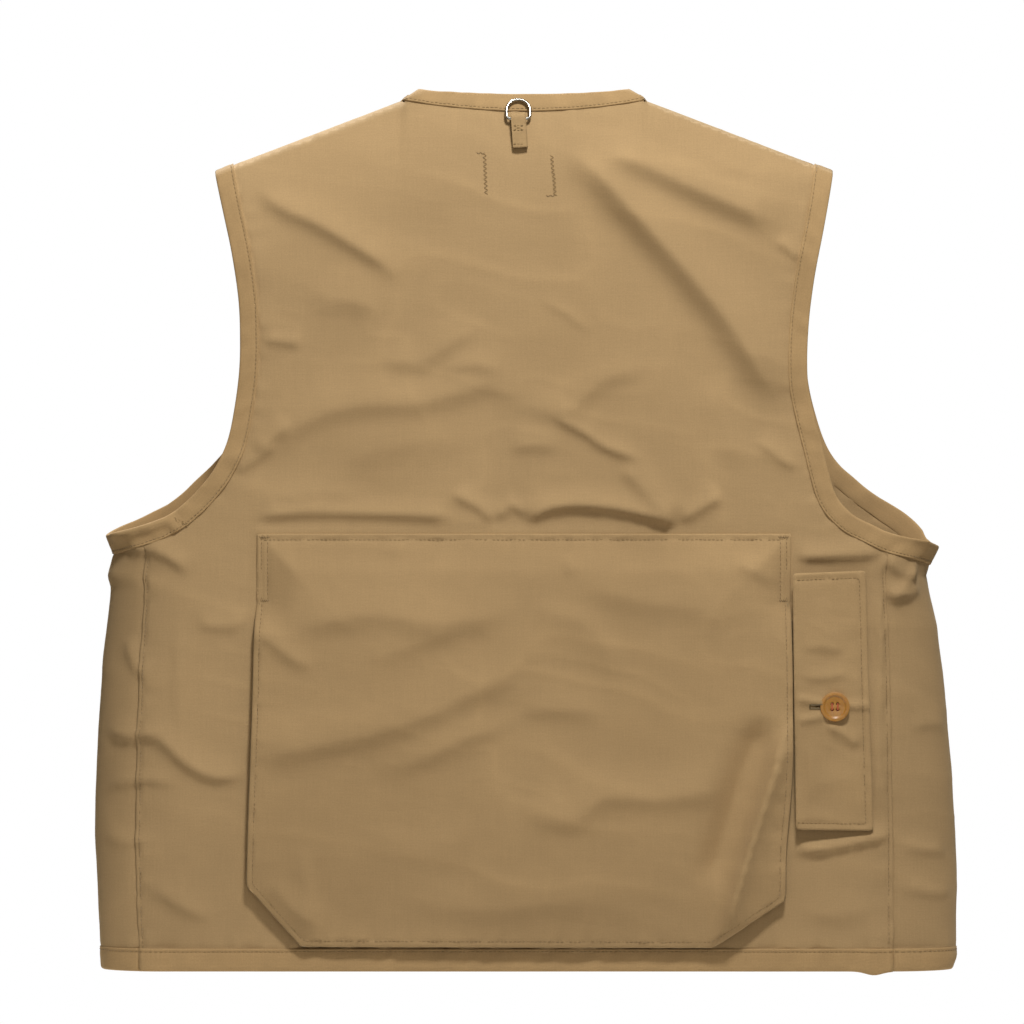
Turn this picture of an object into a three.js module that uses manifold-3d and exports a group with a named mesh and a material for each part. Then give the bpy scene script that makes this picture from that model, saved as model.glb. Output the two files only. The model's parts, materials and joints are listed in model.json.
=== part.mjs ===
// Fishing vest, hanging by its shoulders: cloth panels, bellows pockets, zip, buttons and net ring.
// Millimetres, +Z up, the back faces +Y, the front faces -Y, and the wearer's left is +X.
// The origin is midway between the inner ends of the two shoulders, where the vest is held up.
//
// A place on the cloth is given as [a, z]: a is the distance round the girth from the centre back,
// positive towards the wearer's left, z is the height, and n is the height above the cloth's inner face.

import * as THREE from 'three';
import { mergeVertices } from 'three/addons/utils/BufferGeometryUtils.js';
import Module from 'manifold-3d';

const wasm = await Module();
wasm.setup();

// ---- Driving dimensions ----

// Overall form
const BACK_LENGTH = 604; // origin to hem
const FLAT_HALF = 251; // half width of the flat back and the flat front
const SIDE_ROUND = 45; // how far the rounded sides stand out past the flat
const TOP_DEPTH = 26; // half of the depth at the shoulders
const HEM_DEPTH = 30; // half of the depth at the hem
const SHOULDER_ROUND = 80; // height over which the cloth rolls over the shoulder
const SHOULDER_X = 216; // shoulder tip from the centre
const SHOULDER_SLOPE = 0.382; // drop for each millimetre outwards
const NECK_HALF = 85; // neck seam from the centre, at the shoulder
const NECK_Z = 2; // height of the shoulder at the neck
const NECK_ARCH = 14; // rise of the neck hole's rim line between the shoulders

// Cloth
const CLOTH = 1.6; // a panel, with its seam allowances
const BAND = 2.4; // a folded binding
const GAP = 0.3; // clearance between neighbouring pieces
const NECK_GAP = 0.9; // the same at the neck seams, which lie over the rounded shoulder
const SEWN = CLOTH + GAP; // underside of a piece that is sewn onto a panel

// Seams and bands
const SIDE_SEAM_PAST = 11; // side seam past the flat of the back
const ARM_DEPTH = 300; // lowest point of the armhole
const ARM_BAND = 13; // armhole band width
const HEM_BAND = 15.7; // hem band width
const NECK_SEAM_SAG = 8; // dip of the back neck seam
const NECK_BAND_HALF = 73; // free edge of the neck band from the centre, at the shoulder
const NECK_BAND_Z = 9; // height of that edge at the shoulder
const NECK_BAND_SAG = 3; // dip of the back neck band's free edge
const V_BAND = 12; // width of the front neck band
const V_BOTTOM = 160; // depth of the neck opening at the front
const V_X = 10; // free edge of the front neck band from the centre, at its foot
const OPENING_X = 12; // front edge from the centre
const FOLD_X = 60; // line that each front folds back on
const FOLD_GAP = 0.5; // clearance on each side of that line

// Creel pouch on the back
const POUCH_HALF = 186;
const POUCH_TOP = 300; // below the origin
const POUCH_UP = 18; // foot of the pouch above the hem
const POUCH_SEWN = 346; // foot of the stitched top corners
const POUCH_CORNER_X = 142; // foot of the cut corner
const POUCH_CORNER_UP = 36; // head of the cut corner above the pouch's foot
const POUCH_EDGE = 7.1; // how far the free edge stands off
const POUCH_CROWN = 6; // how much further the middle stands off
const GUSSET_DOWN = 32; // head of the bellows below the stitched corner

// Creel flap
const FLAP_WIDE = 58;
const FLAP_LONG = 183;
const FLAP_DOWN = 27; // head of the flap below the head of the pouch
const FLAP_BESIDE = 1; // hinge edge past the pouch's edge
const FLAP_BUTTON_IN = 28.6; // button from the hinge edge
const FLAP_BUTTON_DOWN = 93; // button below the flap's head

// Buttons
const BUTTON_R = 10.15;
const BUTTON_THICK = 3.1;
const BUTTON_HOLE = 1.0; // radius of one thread hole
const BUTTON_HOLE_OFF = 1.9; // hole from the centre, both ways
const SHANK_R = 2.4;
const BUTTON_CLEAR = 2; // room round a button in its flap

// Front pockets: half-front positions, from the centre front and below the origin
const CHEST = { inner: 92, outer: 172, top: 165, bottom: 265, deep: 9, flapTop: 155, flapBottom: 200 };
const LOWER = { inner: 96, outer: 236, top: 385, bottom: 560, deep: 12, flapTop: 372, flapBottom: 430 };
const FLAP_OVERHANG = 1; // a pocket flap stands this much past its pocket at each side
const POCKET_BUTTON_UP = 11; // button centre above its flap's free edge

// Fleece patch on the wearer's right chest
const PATCH = { inner: 105, outer: 165, top: 95, bottom: 140, thick: 5 };

// Zip
const TEETH_INNER = 5;
const TEETH_WIDE = 3.7;
const TEETH_BELOW_NECK = 10; // head of the teeth below the neck opening
const TEETH_LOW = -1.9;
const TEETH_HIGH = 0.5;
const TAPE_WIDE = 15;
const TAPE_THICK = 0.8;
const SLIDER_LONG = 12;
const SLIDER_PLATE = 1.5;
const SLIDER_WEB = 1.5;
const PULL_LONG = 22;
const PULL_WIDE = 5;
const PULL_THICK = 1.4;
const BRIDGE_R = 0.9;
const STOP_LONG = 3.2;
const BOX_LONG = 10;

// Net tab and D-ring
const TAB_X = 4;
const TAB_WIDE = 10.4;
const TAB_TOP = 8.2; // below the origin
const TAB_LONG = 25;
const TAB_THICK = 4.4;
const TAB_LEAN = 12.4; // degrees, along the cloth below the neck
const TAB_OFF = 3.4; // underside of the tab above the cloth's inner face
const RING_WIRE = 1.1; // radius
const RING_HALF = 8.2; // half width to the middle of the wire
const RING_LEG = 6.4;
const RING_LEAN = 22; // degrees, in towards the collar
const RING_BAR_DOWN = 4.6; // bar below the tab's head

// Neck label
const LABEL = { left: 27, right: -20, top: 36, bottom: 64, thick: 0.6, off: 0.6 };

// ---- The vest's form ----

const HEM_Z = -BACK_LENGTH;
const PANEL_FOOT = HEM_Z + HEM_BAND + GAP;
const meanDepth = (TOP_DEPTH + HEM_DEPTH) / 2;
const SIDE_ARC = Math.PI / 2 * (3 * (SIDE_ROUND + meanDepth)
  - Math.sqrt((3 * SIDE_ROUND + meanDepth) * (SIDE_ROUND + 3 * meanDepth)));
const CENTRE_FRONT = 2 * FLAT_HALF + SIDE_ARC;
const SIDE_SEAM = FLAT_HALF + SIDE_SEAM_PAST;
const UNDERARM = FLAT_HALF + SIDE_ARC / 2;

/** Half of the vest's depth at height z. */
function depthAt(z) {
  return TOP_DEPTH + (HEM_DEPTH - TOP_DEPTH) * z / HEM_Z;
}

/** Height of the shoulder line, and of the neck hole's rim line, at distance x from the centre. */
function ridgeAt(x) {
  const out = Math.abs(x);
  if (out >= NECK_HALF) return NECK_Z - (out - NECK_HALF) * SHOULDER_SLOPE;
  return NECK_Z + NECK_ARCH * Math.sqrt(1 - (out / NECK_HALF) ** 2);
}

/** The point at place [a, z], n above the cloth's inner face. */
function formPoint(a, z, n) {
  const side = a < 0 ? -1 : 1;
  const run = Math.abs(a);
  const half = depthAt(z);
  let x = run;
  let y = half;
  let normal = new THREE.Vector3(0, 1, 0);
  if (run > FLAT_HALF + SIDE_ARC) {
    x = CENTRE_FRONT - run;
    y = -half;
    normal.y = -1;
  } else if (run > FLAT_HALF) {
    const turn = Math.PI * (run - FLAT_HALF) / SIDE_ARC;
    x = FLAT_HALF + SIDE_ROUND * Math.sin(turn);
    y = half * Math.cos(turn);
    normal = new THREE.Vector3(Math.sin(turn) / SIDE_ROUND, Math.cos(turn) / half, 0).normalize();
  }
  const drop = ridgeAt(x) - z;
  if (drop < SHOULDER_ROUND) {
    const rise = 1 - Math.max(drop, 0) / SHOULDER_ROUND;
    const spread = Math.sqrt(1 - rise * rise);
    const face = Math.sign(y);
    y = face * Math.max(half * spread, GAP / 2);
    normal = new THREE.Vector3(0, face * spread / half, rise / SHOULDER_ROUND).normalize();
  }
  return new THREE.Vector3(side * (x + n * normal.x), y + n * normal.y, z + n * normal.z);
}

/** The girth place of a point on the front, x from the centre front, on side +1 or -1. */
function frontA(side, x) {
  return side * (CENTRE_FRONT - x);
}

// ---- Geometry helpers ----

/** Turns a closed body's faces outwards. */
function facedOut(geometry) {
  const points = geometry.getAttribute('position');
  const index = geometry.getIndex();
  const corner = [new THREE.Vector3(), new THREE.Vector3(), new THREE.Vector3()];
  let volume = 0;
  for (let i = 0; i < index.count; i += 3) {
    corner.forEach((point, k) => point.fromBufferAttribute(points, index.getX(i + k)));
    volume += corner[0].dot(corner[1].clone().cross(corner[2]));
  }
  if (volume < 0) {
    for (let i = 0; i < index.count; i += 3) {
      const second = index.getX(i + 1);
      index.setX(i + 1, index.getX(i + 2));
      index.setX(i + 2, second);
    }
  }
  return geometry;
}

/** A closed body from points and triangles. */
function body(points, triangles) {
  const geometry = new THREE.BufferGeometry();
  geometry.setAttribute('position', new THREE.Float32BufferAttribute(points.flatMap((p) => [p.x, p.y, p.z]), 3));
  geometry.setIndex(triangles);
  return facedOut(geometry);
}

/**
 * A slab of cloth on the form: place(i, j) gives the [a, z] of grid point (i, j), and low and high,
 * numbers or functions of (i, j), give the slab's underside and top above the cloth's inner face.
 */
function slab(columns, rows, place, low, high) {
  const heightOf = (value, i, j) => (typeof value === 'function' ? value(i, j) : value);
  const points = [];
  for (const layer of [low, high]) {
    for (let j = 0; j <= rows; j += 1) {
      for (let i = 0; i <= columns; i += 1) {
        const [a, z] = place(i, j);
        points.push(formPoint(a, z, heightOf(layer, i, j)));
      }
    }
  }
  const layerSize = (columns + 1) * (rows + 1);
  const at = (i, j, layer) => layer * layerSize + j * (columns + 1) + i;
  const triangles = [];
  const quad = (p, q, r, s) => triangles.push(p, q, r, p, r, s);
  for (let j = 0; j < rows; j += 1) {
    for (let i = 0; i < columns; i += 1) {
      quad(at(i, j, 1), at(i + 1, j, 1), at(i + 1, j + 1, 1), at(i, j + 1, 1));
      quad(at(i, j, 0), at(i, j + 1, 0), at(i + 1, j + 1, 0), at(i + 1, j, 0));
    }
  }
  for (let i = 0; i < columns; i += 1) {
    quad(at(i, 0, 0), at(i + 1, 0, 0), at(i + 1, 0, 1), at(i, 0, 1));
    quad(at(i + 1, rows, 0), at(i, rows, 0), at(i, rows, 1), at(i + 1, rows, 1));
  }
  for (let j = 0; j < rows; j += 1) {
    quad(at(0, j + 1, 0), at(0, j, 0), at(0, j, 1), at(0, j + 1, 1));
    quad(at(columns, j, 0), at(columns, j + 1, 0), at(columns, j + 1, 1), at(columns, j, 1));
  }
  return body(points, triangles);
}

/** A slab over the grid of the given girth places and heights. */
function gridSlab(girths, heights, low, high) {
  return slab(girths.length - 1, heights.length - 1, (i, j) => [girths[i], heights[j]], low, high);
}

/** A flat block on the front: x and z from the centre front and the origin, n above the inner face. */
function frontBlock(side, x0, x1, z0, z1, n0, n1) {
  return gridSlab([frontA(side, x0), frontA(side, x1)], [z0, z1], n0, n1);
}

/** A line of [a, z] points moved sideways by a distance, to the right of its direction. */
function offsetLine(line, distance) {
  return line.map((point, k) => {
    const before = line[Math.max(k - 1, 0)];
    const after = line[Math.min(k + 1, line.length - 1)];
    const into = new THREE.Vector2(point[0] - before[0], point[1] - before[1]);
    const out = new THREE.Vector2(after[0] - point[0], after[1] - point[1]);
    if (k === 0) into.copy(out);
    if (k === line.length - 1) out.copy(into);
    into.normalize();
    out.normalize();
    const along = into.clone().add(out).normalize();
    const stretch = distance / Math.max(along.dot(into), 0.5);
    return [point[0] + along.y * stretch, point[1] - along.x * stretch];
  });
}

/** Numbers from 0 to 1, packed towards 0 by a power. */
function steps(count, power = 1) {
  return Array.from({ length: count + 1 }, (_, k) => (k / count) ** power);
}

/** A manifold solid from a closed geometry. */
function solidOf(geometry) {
  const bare = geometry.clone();
  bare.deleteAttribute('normal');
  bare.deleteAttribute('uv');
  const merged = mergeVertices(bare, 1e-4);
  const mesh = new wasm.Mesh({
    numProp: 3,
    vertProperties: new Float32Array(merged.getAttribute('position').array),
    triVerts: new Uint32Array(merged.getIndex().array),
  });
  return new wasm.Manifold(mesh);
}

/** The geometry of a manifold solid. */
function geometryOf(solid) {
  const mesh = solid.getMesh();
  const geometry = new THREE.BufferGeometry();
  geometry.setAttribute('position', new THREE.BufferAttribute(new Float32Array(mesh.vertProperties), 3));
  geometry.setIndex(new THREE.BufferAttribute(new Uint32Array(mesh.triVerts), 1));
  return geometry;
}

/** The first geometry with the others cut out of it. */
function cut(geometry, ...tools) {
  return geometryOf(tools.reduce((solid, tool) => solid.subtract(solidOf(tool)), solidOf(geometry)));
}

/** The geometries joined into one. */
function join(geometry, ...others) {
  return geometryOf(others.reduce((solid, other) => solid.add(solidOf(other)), solidOf(geometry)));
}

// ---- Finishes ----

const finish = (color, roughness, metalness = 0) => new THREE.MeshStandardMaterial({ color, roughness, metalness });
const KHAKI = '#a98c5f';
const FINISHES = {
  panel: finish(KHAKI, 0.9),
  band: finish('#a3865a', 0.9),
  pocket: finish('#a5895c', 0.9),
  button: finish('#b9883f', 0.35),
  nickel: finish('#c9c6bf', 0.25, 1),
  brass: finish('#a8894f', 0.35, 1),
  tape: finish('#8c7449', 0.9),
  label: finish('#d8cdb4', 0.9),
  fleece: finish('#e0d8c4', 1),
};

const vest = new THREE.Group();

/** Adds one piece to a group, under its own name and with its own material. */
function piece(name, geometry, material, group = vest) {
  const mesh = new THREE.Mesh(geometry, material.clone());
  mesh.name = name;
  group.add(mesh);
  return mesh;
}

const SIDES = [['left', 1], ['right', -1]];

// ---- Armholes ----

const shoulderZ = ridgeAt(SHOULDER_X);
const frontTip = CENTRE_FRONT - SHOULDER_X;
// The armhole's free edge, from the back of the shoulder under the arm to the front of the shoulder.
const armholeEdge = new THREE.SplineCurve([
  [SHOULDER_X, shoulderZ], [SHOULDER_X - 10, shoulderZ - 44], [SHOULDER_X - 19, shoulderZ - 95],
  [SHOULDER_X - 21, shoulderZ - 137], [SHOULDER_X - 15, shoulderZ - 174],
  [UNDERARM - 97, 50 - ARM_DEPTH], [UNDERARM - 80, 29 - ARM_DEPTH], [UNDERARM - 56, 11 - ARM_DEPTH],
  [UNDERARM - 30, 2 - ARM_DEPTH], [UNDERARM, -ARM_DEPTH], [UNDERARM + 26, 4 - ARM_DEPTH],
  [UNDERARM + 53, 16 - ARM_DEPTH], [UNDERARM + 79, 34 - ARM_DEPTH], [UNDERARM + 98, 57 - ARM_DEPTH],
  [frontTip + 16, shoulderZ - 168], [frontTip + 22, shoulderZ - 137], [frontTip + 21, shoulderZ - 102],
  [frontTip + 16, shoulderZ - 64], [frontTip + 8, shoulderZ - 30], [frontTip, shoulderZ],
].map(([a, z]) => new THREE.Vector2(a, z)));

const ARM_SAMPLES = 600;
const finePoints = armholeEdge.getSpacedPoints(ARM_SAMPLES).map((p) => [p.x, p.y]);
const fineSeam = offsetLine(finePoints, ARM_BAND);
const fineCut = offsetLine(finePoints, ARM_BAND + GAP);

/** The sample where the armhole seam first passes girth place a. */
function seamSampleAt(a) {
  return fineSeam.findIndex((point) => point[0] >= a && point[1] < shoulderZ - SHOULDER_ROUND);
}

const BACK_STATIONS = 13;
const SIDE_STATIONS = 8;
const FRONT_STATIONS = 12;
const sideSample = seamSampleAt(SIDE_SEAM);
const turnSample = seamSampleAt(FLAT_HALF + SIDE_ARC);
const stationSamples = [
  ...steps(BACK_STATIONS, 1.8).map((t) => t * sideSample),
  ...steps(SIDE_STATIONS).slice(1).map((t) => sideSample + t * (turnSample - sideSample)),
  ...steps(FRONT_STATIONS, 1.8).reverse().slice(1).map((t) => ARM_SAMPLES - t * (ARM_SAMPLES - turnSample)),
].map(Math.round);
const lastStation = stationSamples.length - 1;

/** One line of armhole stations, with both ends on the shoulder line, width in from the tip. */
function stationLine(fine, width) {
  const line = stationSamples.map((sample) => [...fine[sample]]);
  const tip = SHOULDER_X - width;
  line[0] = [tip, ridgeAt(tip)];
  line[lastStation] = [CENTRE_FRONT - tip, ridgeAt(tip)];
  return line;
}

const armEdge = stationLine(finePoints, 0);
const armSeam = stationLine(fineSeam, ARM_BAND);
const armCut = stationLine(fineCut, ARM_BAND + GAP);
armCut[BACK_STATIONS][0] = SIDE_SEAM;

for (const [name, side] of SIDES) {
  const lines = [armEdge, armSeam];
  const band = slab(1, lastStation, (i, j) => [side * lines[i][j][0], lines[i][j][1]], 0, BAND);
  piece(`armhole_band_${name}`, band, FINISHES.band);
}

// ---- Back panel ----

// Where the back neck seam is stationed, as shares of its half width.
const neckSteps = [0, 0.35, 0.66, 0.88, 0.96, 1];

/** Height of the back panel's top edge at distance x from the centre. */
function backTop(x) {
  if (Math.abs(x) > NECK_HALF + GAP) return ridgeAt(x);
  return NECK_Z - NECK_SEAM_SAG * (1 - (x / NECK_HALF) ** 2) - NECK_GAP;
}

const SIDE_ROWS = 4;
const pitZ = armCut[BACK_STATIONS][1];
const backEdge = [
  ...steps(SIDE_ROWS).slice(0, -1).map((t) => [SIDE_SEAM, PANEL_FOOT + t * (pitZ - PANEL_FOOT)]),
  ...armCut.slice(0, BACK_STATIONS + 1).reverse(),
];
const backTip = armCut[0][0];
const backHalfColumns = [...neckSteps.map((u) => u * NECK_HALF), (NECK_HALF + backTip) / 2, backTip]
  .map((x) => x / backTip);
const backColumns = [...backHalfColumns.slice(1).reverse().map((u) => -u), ...backHalfColumns];

/** The back panel's grid point. */
function backPlace(i, j) {
  const [edgeA, edgeZ] = backEdge[j];
  const u = backColumns[i];
  const lift = THREE.MathUtils.clamp((edgeZ - pitZ) / (armCut[0][1] - pitZ), 0, 1);
  const inset = j <= SIDE_ROWS ? GAP / 2 : 0;
  return [u * (edgeA - inset), edgeZ + lift * (backTop(u * backTip) - backTop(backTip))];
}

piece('back_panel', slab(backColumns.length - 1, backEdge.length - 1, backPlace, 0, CLOTH), FINISHES.panel);

// ---- Neck bands ----

const neckColumns = [...neckSteps.slice(1).reverse().map((u) => -u), ...neckSteps];

/** The back neck band's grid point, from the seam up to the free edge. */
function neckPlace(i, j) {
  const u = neckColumns[i];
  const seam = [u * NECK_HALF, NECK_Z - NECK_SEAM_SAG * (1 - u * u)];
  const edge = [u * NECK_BAND_HALF, NECK_BAND_Z - NECK_BAND_SAG * (1 - u * u)];
  return [seam[0] + (edge[0] - seam[0]) * j / 2, seam[1] + (edge[1] - seam[1]) * j / 2];
}

piece('neck_band_back', slab(neckColumns.length - 1, 2, neckPlace, 0, BAND), FINISHES.band);

// The front neck band: its free edge, and its seam, as lines of [x, z] from the shoulder down.
const vCurve = new THREE.SplineCurve([
  [NECK_BAND_HALF, NECK_BAND_Z], [NECK_BAND_HALF - 13, -30], [NECK_BAND_HALF - 35, -85], [V_X, -V_BOTTOM],
].map(([x, z]) => new THREE.Vector2(x, z)));
const vEdge = vCurve.getSpacedPoints(120).map((point) => point.toArray());
const vSeam = offsetLine(vEdge, -V_BAND);
vSeam[0] = [NECK_HALF, NECK_Z];
vSeam[vSeam.length - 1][1] = -V_BOTTOM;
const seamFootX = vSeam.at(-1)[0];

/** The point of a falling line at distance x from the centre. */
function lineAt(line, x) {
  const next = Math.max(1, line.findIndex((point) => point[0] <= x));
  const [from, to] = [line[next - 1], line[next]];
  return [x, from[1] + (to[1] - from[1]) * (x - from[0]) / (to[0] - from[0])];
}

/** Stations of a line from x0 to x1, at the given shares. */
function stretchOf(line, x0, x1, shares) {
  return shares.map((t) => lineAt(line, x0 + t * (x1 - x0)));
}

const outerFold = FOLD_X + FOLD_GAP;
const innerFold = FOLD_X - FOLD_GAP;
const upperShares = steps(6, 1.5);
const lowerShares = steps(6);
const upperSeam = stretchOf(vSeam, NECK_HALF, outerFold, upperShares);
const lowerSeam = stretchOf(vSeam, innerFold, seamFootX, lowerShares);
const upperRun = [stretchOf(vEdge, NECK_BAND_HALF, outerFold, upperShares), upperSeam];
const lowerRun = [stretchOf(vEdge, innerFold, V_X, lowerShares), lowerSeam];

for (const [name, side] of SIDES) {
  for (const [run, lines] of [['upper', upperRun], ['lower', lowerRun]]) {
    const place = (i, j) => [frontA(side, lines[i][j][0]), lines[i][j][1]];
    const band = slab(1, lines[0].length - 1, place, 0, BAND);
    piece(`neck_band_${run}_${name}`, band, FINISHES.band);
  }
}

// ---- Front panels, from the side seam to the fold line ----

const neckCorner = NECK_HALF + NECK_GAP;
const upperCut = offsetLine(upperSeam, -NECK_GAP);
upperCut[0] = [neckCorner, ridgeAt(neckCorner)];
upperCut[upperCut.length - 1][0] = outerFold;
const frontTop = (x) => (x >= neckCorner ? ridgeAt(x) : lineAt(upperCut, x)[1]);

const frontEdge = [
  ...steps(SIDE_ROWS).slice(0, -1).map((t) => [SIDE_SEAM, PANEL_FOOT + t * (pitZ - PANEL_FOOT)]),
  ...armCut.slice(BACK_STATIONS),
];
const frontRows = frontEdge.length - 1;
const foldA = CENTRE_FRONT - outerFold;
const foldTop = upperCut.at(-1)[1];
const frontRun = foldA - SIDE_SEAM;
const sideColumns = steps(SIDE_STATIONS).map((t) => t * (FLAT_HALF + SIDE_ARC - SIDE_SEAM) / frontRun);
const topColumns = upperCut.map(([x]) => (backTip - x) / (backTip - outerFold));
const frontColumns = [...sideColumns, 0.6, ...topColumns];

/** The front panel's grid point, for the wearer's left. */
function frontPlace(i, j) {
  const [edgeA, edgeZ] = frontEdge[j];
  const startA = j <= SIDE_ROWS ? edgeA + GAP / 2 : edgeA;
  const share = 1 - (1 - j / frontRows) ** 1.4;
  const farZ = PANEL_FOOT + (foldTop - PANEL_FOOT) * share;
  const u = frontColumns[i];
  const topX = backTip + u * (outerFold - backTip);
  const rise = frontTop(topX) - (ridgeAt(backTip) + u * (foldTop - ridgeAt(backTip)));
  const lift = Math.max(0, (j - SIDE_ROWS) / (frontRows - SIDE_ROWS)) ** 1.5;
  return [startA + u * (foldA - startA), edgeZ + u * (farZ - edgeZ) + lift * rise];
}

for (const [name, side] of SIDES) {
  const place = (i, j) => [side * frontPlace(i, j)[0], frontPlace(i, j)[1]];
  piece(`front_panel_${name}`, slab(frontColumns.length - 1, frontRows, place, 0, CLOTH), FINISHES.panel);
}

// ---- Front opening strips, from the fold line to the centre front ----

const lowerCut = offsetLine(lowerSeam, -NECK_GAP);
const stripTops = [
  [OPENING_X, -V_BOTTOM - GAP], [lowerCut.at(-1)[0], -V_BOTTOM - GAP], ...lowerCut.slice(1, -1).reverse(),
  [innerFold, lineAt(lowerCut, innerFold)[1]],
];
const stripRows = [0, 0.5, 0.8, 0.9, 0.96, 1];

for (const [name, side] of SIDES) {
  const place = (i, j) => {
    const [x, top] = stripTops[i];
    return [frontA(side, x), PANEL_FOOT + (top - PANEL_FOOT) * stripRows[j]];
  };
  const strip = slab(stripTops.length - 1, stripRows.length - 1, place, 0, CLOTH);
  piece(`front_opening_${name}`, strip, FINISHES.panel);
}

// ---- Hem bands ----

const hemHeights = [HEM_Z, HEM_Z + HEM_BAND];
const hemBackGirths = [-SIDE_SEAM + GAP / 2, -FLAT_HALF, FLAT_HALF, SIDE_SEAM - GAP / 2];
piece('hem_band_back', gridSlab(hemBackGirths, hemHeights, 0, BAND), FINISHES.band);

for (const [name, side] of SIDES) {
  const girths = frontColumns.map((u) => side * (SIDE_SEAM + GAP / 2 + u * (foldA - SIDE_SEAM - GAP / 2)));
  piece(`hem_band_${name}`, gridSlab(girths, hemHeights, 0, BAND), FINISHES.band);
  const opening = frontBlock(side, OPENING_X, innerFold, HEM_Z, HEM_Z + HEM_BAND, 0, BAND);
  piece(`hem_band_opening_${name}`, opening, FINISHES.band);
}

// ---- Creel pouch, its bellows and its flap ----

const POUCH_BOTTOM = BACK_LENGTH - POUCH_UP;
const POUCH_CORNER_Z = POUCH_BOTTOM - POUCH_CORNER_UP;
const FLAP_TOP = POUCH_TOP + FLAP_DOWN;
const FLAP_BOTTOM = FLAP_TOP + FLAP_LONG;
const FLAP_INNER = POUCH_HALF + FLAP_BESIDE;
const FLAP_OUTER = FLAP_INNER + FLAP_WIDE;
const FLAP_HIGH = SEWN + POUCH_EDGE + 2 * GAP; // underside at the hinge edge
const FLAP_LOW = SEWN + GAP; // underside at the free edge
const FLAP_BUTTON_X = FLAP_INNER + FLAP_BUTTON_IN;
const FLAP_BUTTON_Z = FLAP_TOP + FLAP_BUTTON_DOWN;
const MOUTH_FOOT = FLAP_BOTTOM + 3; // where the bellows end and the side mouth starts
const GUSSET_HEAD = POUCH_SEWN + GUSSET_DOWN;

/** Half width of the pouch at height z. */
function pouchHalf(z) {
  const below = THREE.MathUtils.clamp((-z - POUCH_CORNER_Z) / (POUCH_BOTTOM - POUCH_CORNER_Z), 0, 1);
  return POUCH_HALF + (POUCH_CORNER_X - POUCH_HALF) * below;
}

/** Underside of the pouch panel at [x, z]. */
function pouchLift(x, z) {
  const fromSide = pouchHalf(z) - Math.abs(x);
  const fromTop = -POUCH_TOP - z;
  const fromStitching = Math.min(fromTop, Math.hypot(fromSide, Math.max(0, -POUCH_SEWN - z)));
  const fromEdge = Math.min(fromTop, fromSide, z + POUCH_BOTTOM);
  return SEWN + POUCH_EDGE * THREE.MathUtils.smoothstep(fromStitching, 0, 30)
    + POUCH_CROWN * THREE.MathUtils.smoothstep(fromEdge, 0, 90);
}

const pouchColumns = [-1, -0.86, -0.62, -0.3, 0, 0.3, 0.62, 0.86, 1];
const pouchHeights = [POUCH_BOTTOM, POUCH_BOTTOM - 18, POUCH_CORNER_Z, MOUTH_FOOT, (2 * MOUTH_FOOT + GUSSET_HEAD) / 3,
  (MOUTH_FOOT + 2 * GUSSET_HEAD) / 3, GUSSET_HEAD,
  (GUSSET_HEAD + POUCH_SEWN) / 2, POUCH_SEWN, (POUCH_SEWN + POUCH_TOP) / 2, POUCH_TOP].map((down) => -down);
const pouchPlace = (i, j) => [pouchColumns[i] * pouchHalf(pouchHeights[j]), pouchHeights[j]];
const pouchLow = (i, j) => pouchLift(...pouchPlace(i, j));
const pouchHigh = (i, j) => pouchLow(i, j) + CLOTH;
const pouchPanel = slab(pouchColumns.length - 1, pouchHeights.length - 1, pouchPlace, pouchLow, pouchHigh);
piece('creel_pouch', pouchPanel, FINISHES.pocket);

const pouchOutline = [
  [POUCH_HALF, -GUSSET_HEAD], [POUCH_HALF, -POUCH_CORNER_Z], [POUCH_CORNER_X, -POUCH_BOTTOM],
  [-POUCH_CORNER_X, -POUCH_BOTTOM], [-POUCH_HALF, -POUCH_CORNER_Z], [-POUCH_HALF, -MOUTH_FOOT],
];
const gussetLines = [offsetLine(pouchOutline, 2 * GAP), offsetLine(pouchOutline, 2 * GAP + CLOTH)];
const gusset = slab(1, pouchOutline.length - 1, (i, j) => gussetLines[i][j], SEWN, SEWN + POUCH_EDGE - GAP);
piece('creel_gusset', gusset, FINISHES.pocket);

/** Underside of the creel flap, x out from the centre. */
function creelFlapLow(x) {
  return FLAP_HIGH + (FLAP_LOW - FLAP_HIGH) * (x - FLAP_INNER) / (FLAP_OUTER - FLAP_INNER);
}

/** A round tool along Y through place [x, z], on the back (+1) or the front (-1). */
function roundTool(radius, x, z, face) {
  const tool = new THREE.CylinderGeometry(radius, radius, 60, 20);
  tool.translate(x, face * depthAt(z), z);
  return tool;
}

/**
 * A four-hole button with its thread shank, at [x, z] on the back (+1) or the front (-1).
 * The shank's foot is at height n0 and the button's underside at height n1.
 */
function button(x, z, face, n0, n1) {
  const rim = BUTTON_THICK * 0.75;
  const outline = [[0, 0], [BUTTON_R * 0.7, 0], [BUTTON_R, rim * 0.5], [BUTTON_R, rim], [BUTTON_R * 0.86, BUTTON_THICK],
    [BUTTON_R * 0.6, rim], [0, rim]];
  const disc = new THREE.LatheGeometry(outline.map(([r, h]) => new THREE.Vector2(r, h)), 20);
  const holes = [[-1, -1], [-1, 1], [1, -1], [1, 1]].map(([i, j]) => {
    const hole = new THREE.CylinderGeometry(BUTTON_HOLE, BUTTON_HOLE, 4 * BUTTON_THICK, 6);
    return hole.translate(i * BUTTON_HOLE_OFF, 0, j * BUTTON_HOLE_OFF);
  });
  const shank = new THREE.CylinderGeometry(SHANK_R - BUTTON_HOLE, SHANK_R - BUTTON_HOLE, n1 - n0 + rim / 2, 10);
  shank.translate(0, (n0 - n1 + rim / 2) / 2, 0);
  const whole = join(cut(disc, ...holes), shank);
  if (face < 0) whole.rotateZ(Math.PI);
  return whole.translate(x, face * (depthAt(z) + n1), z);
}

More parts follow.
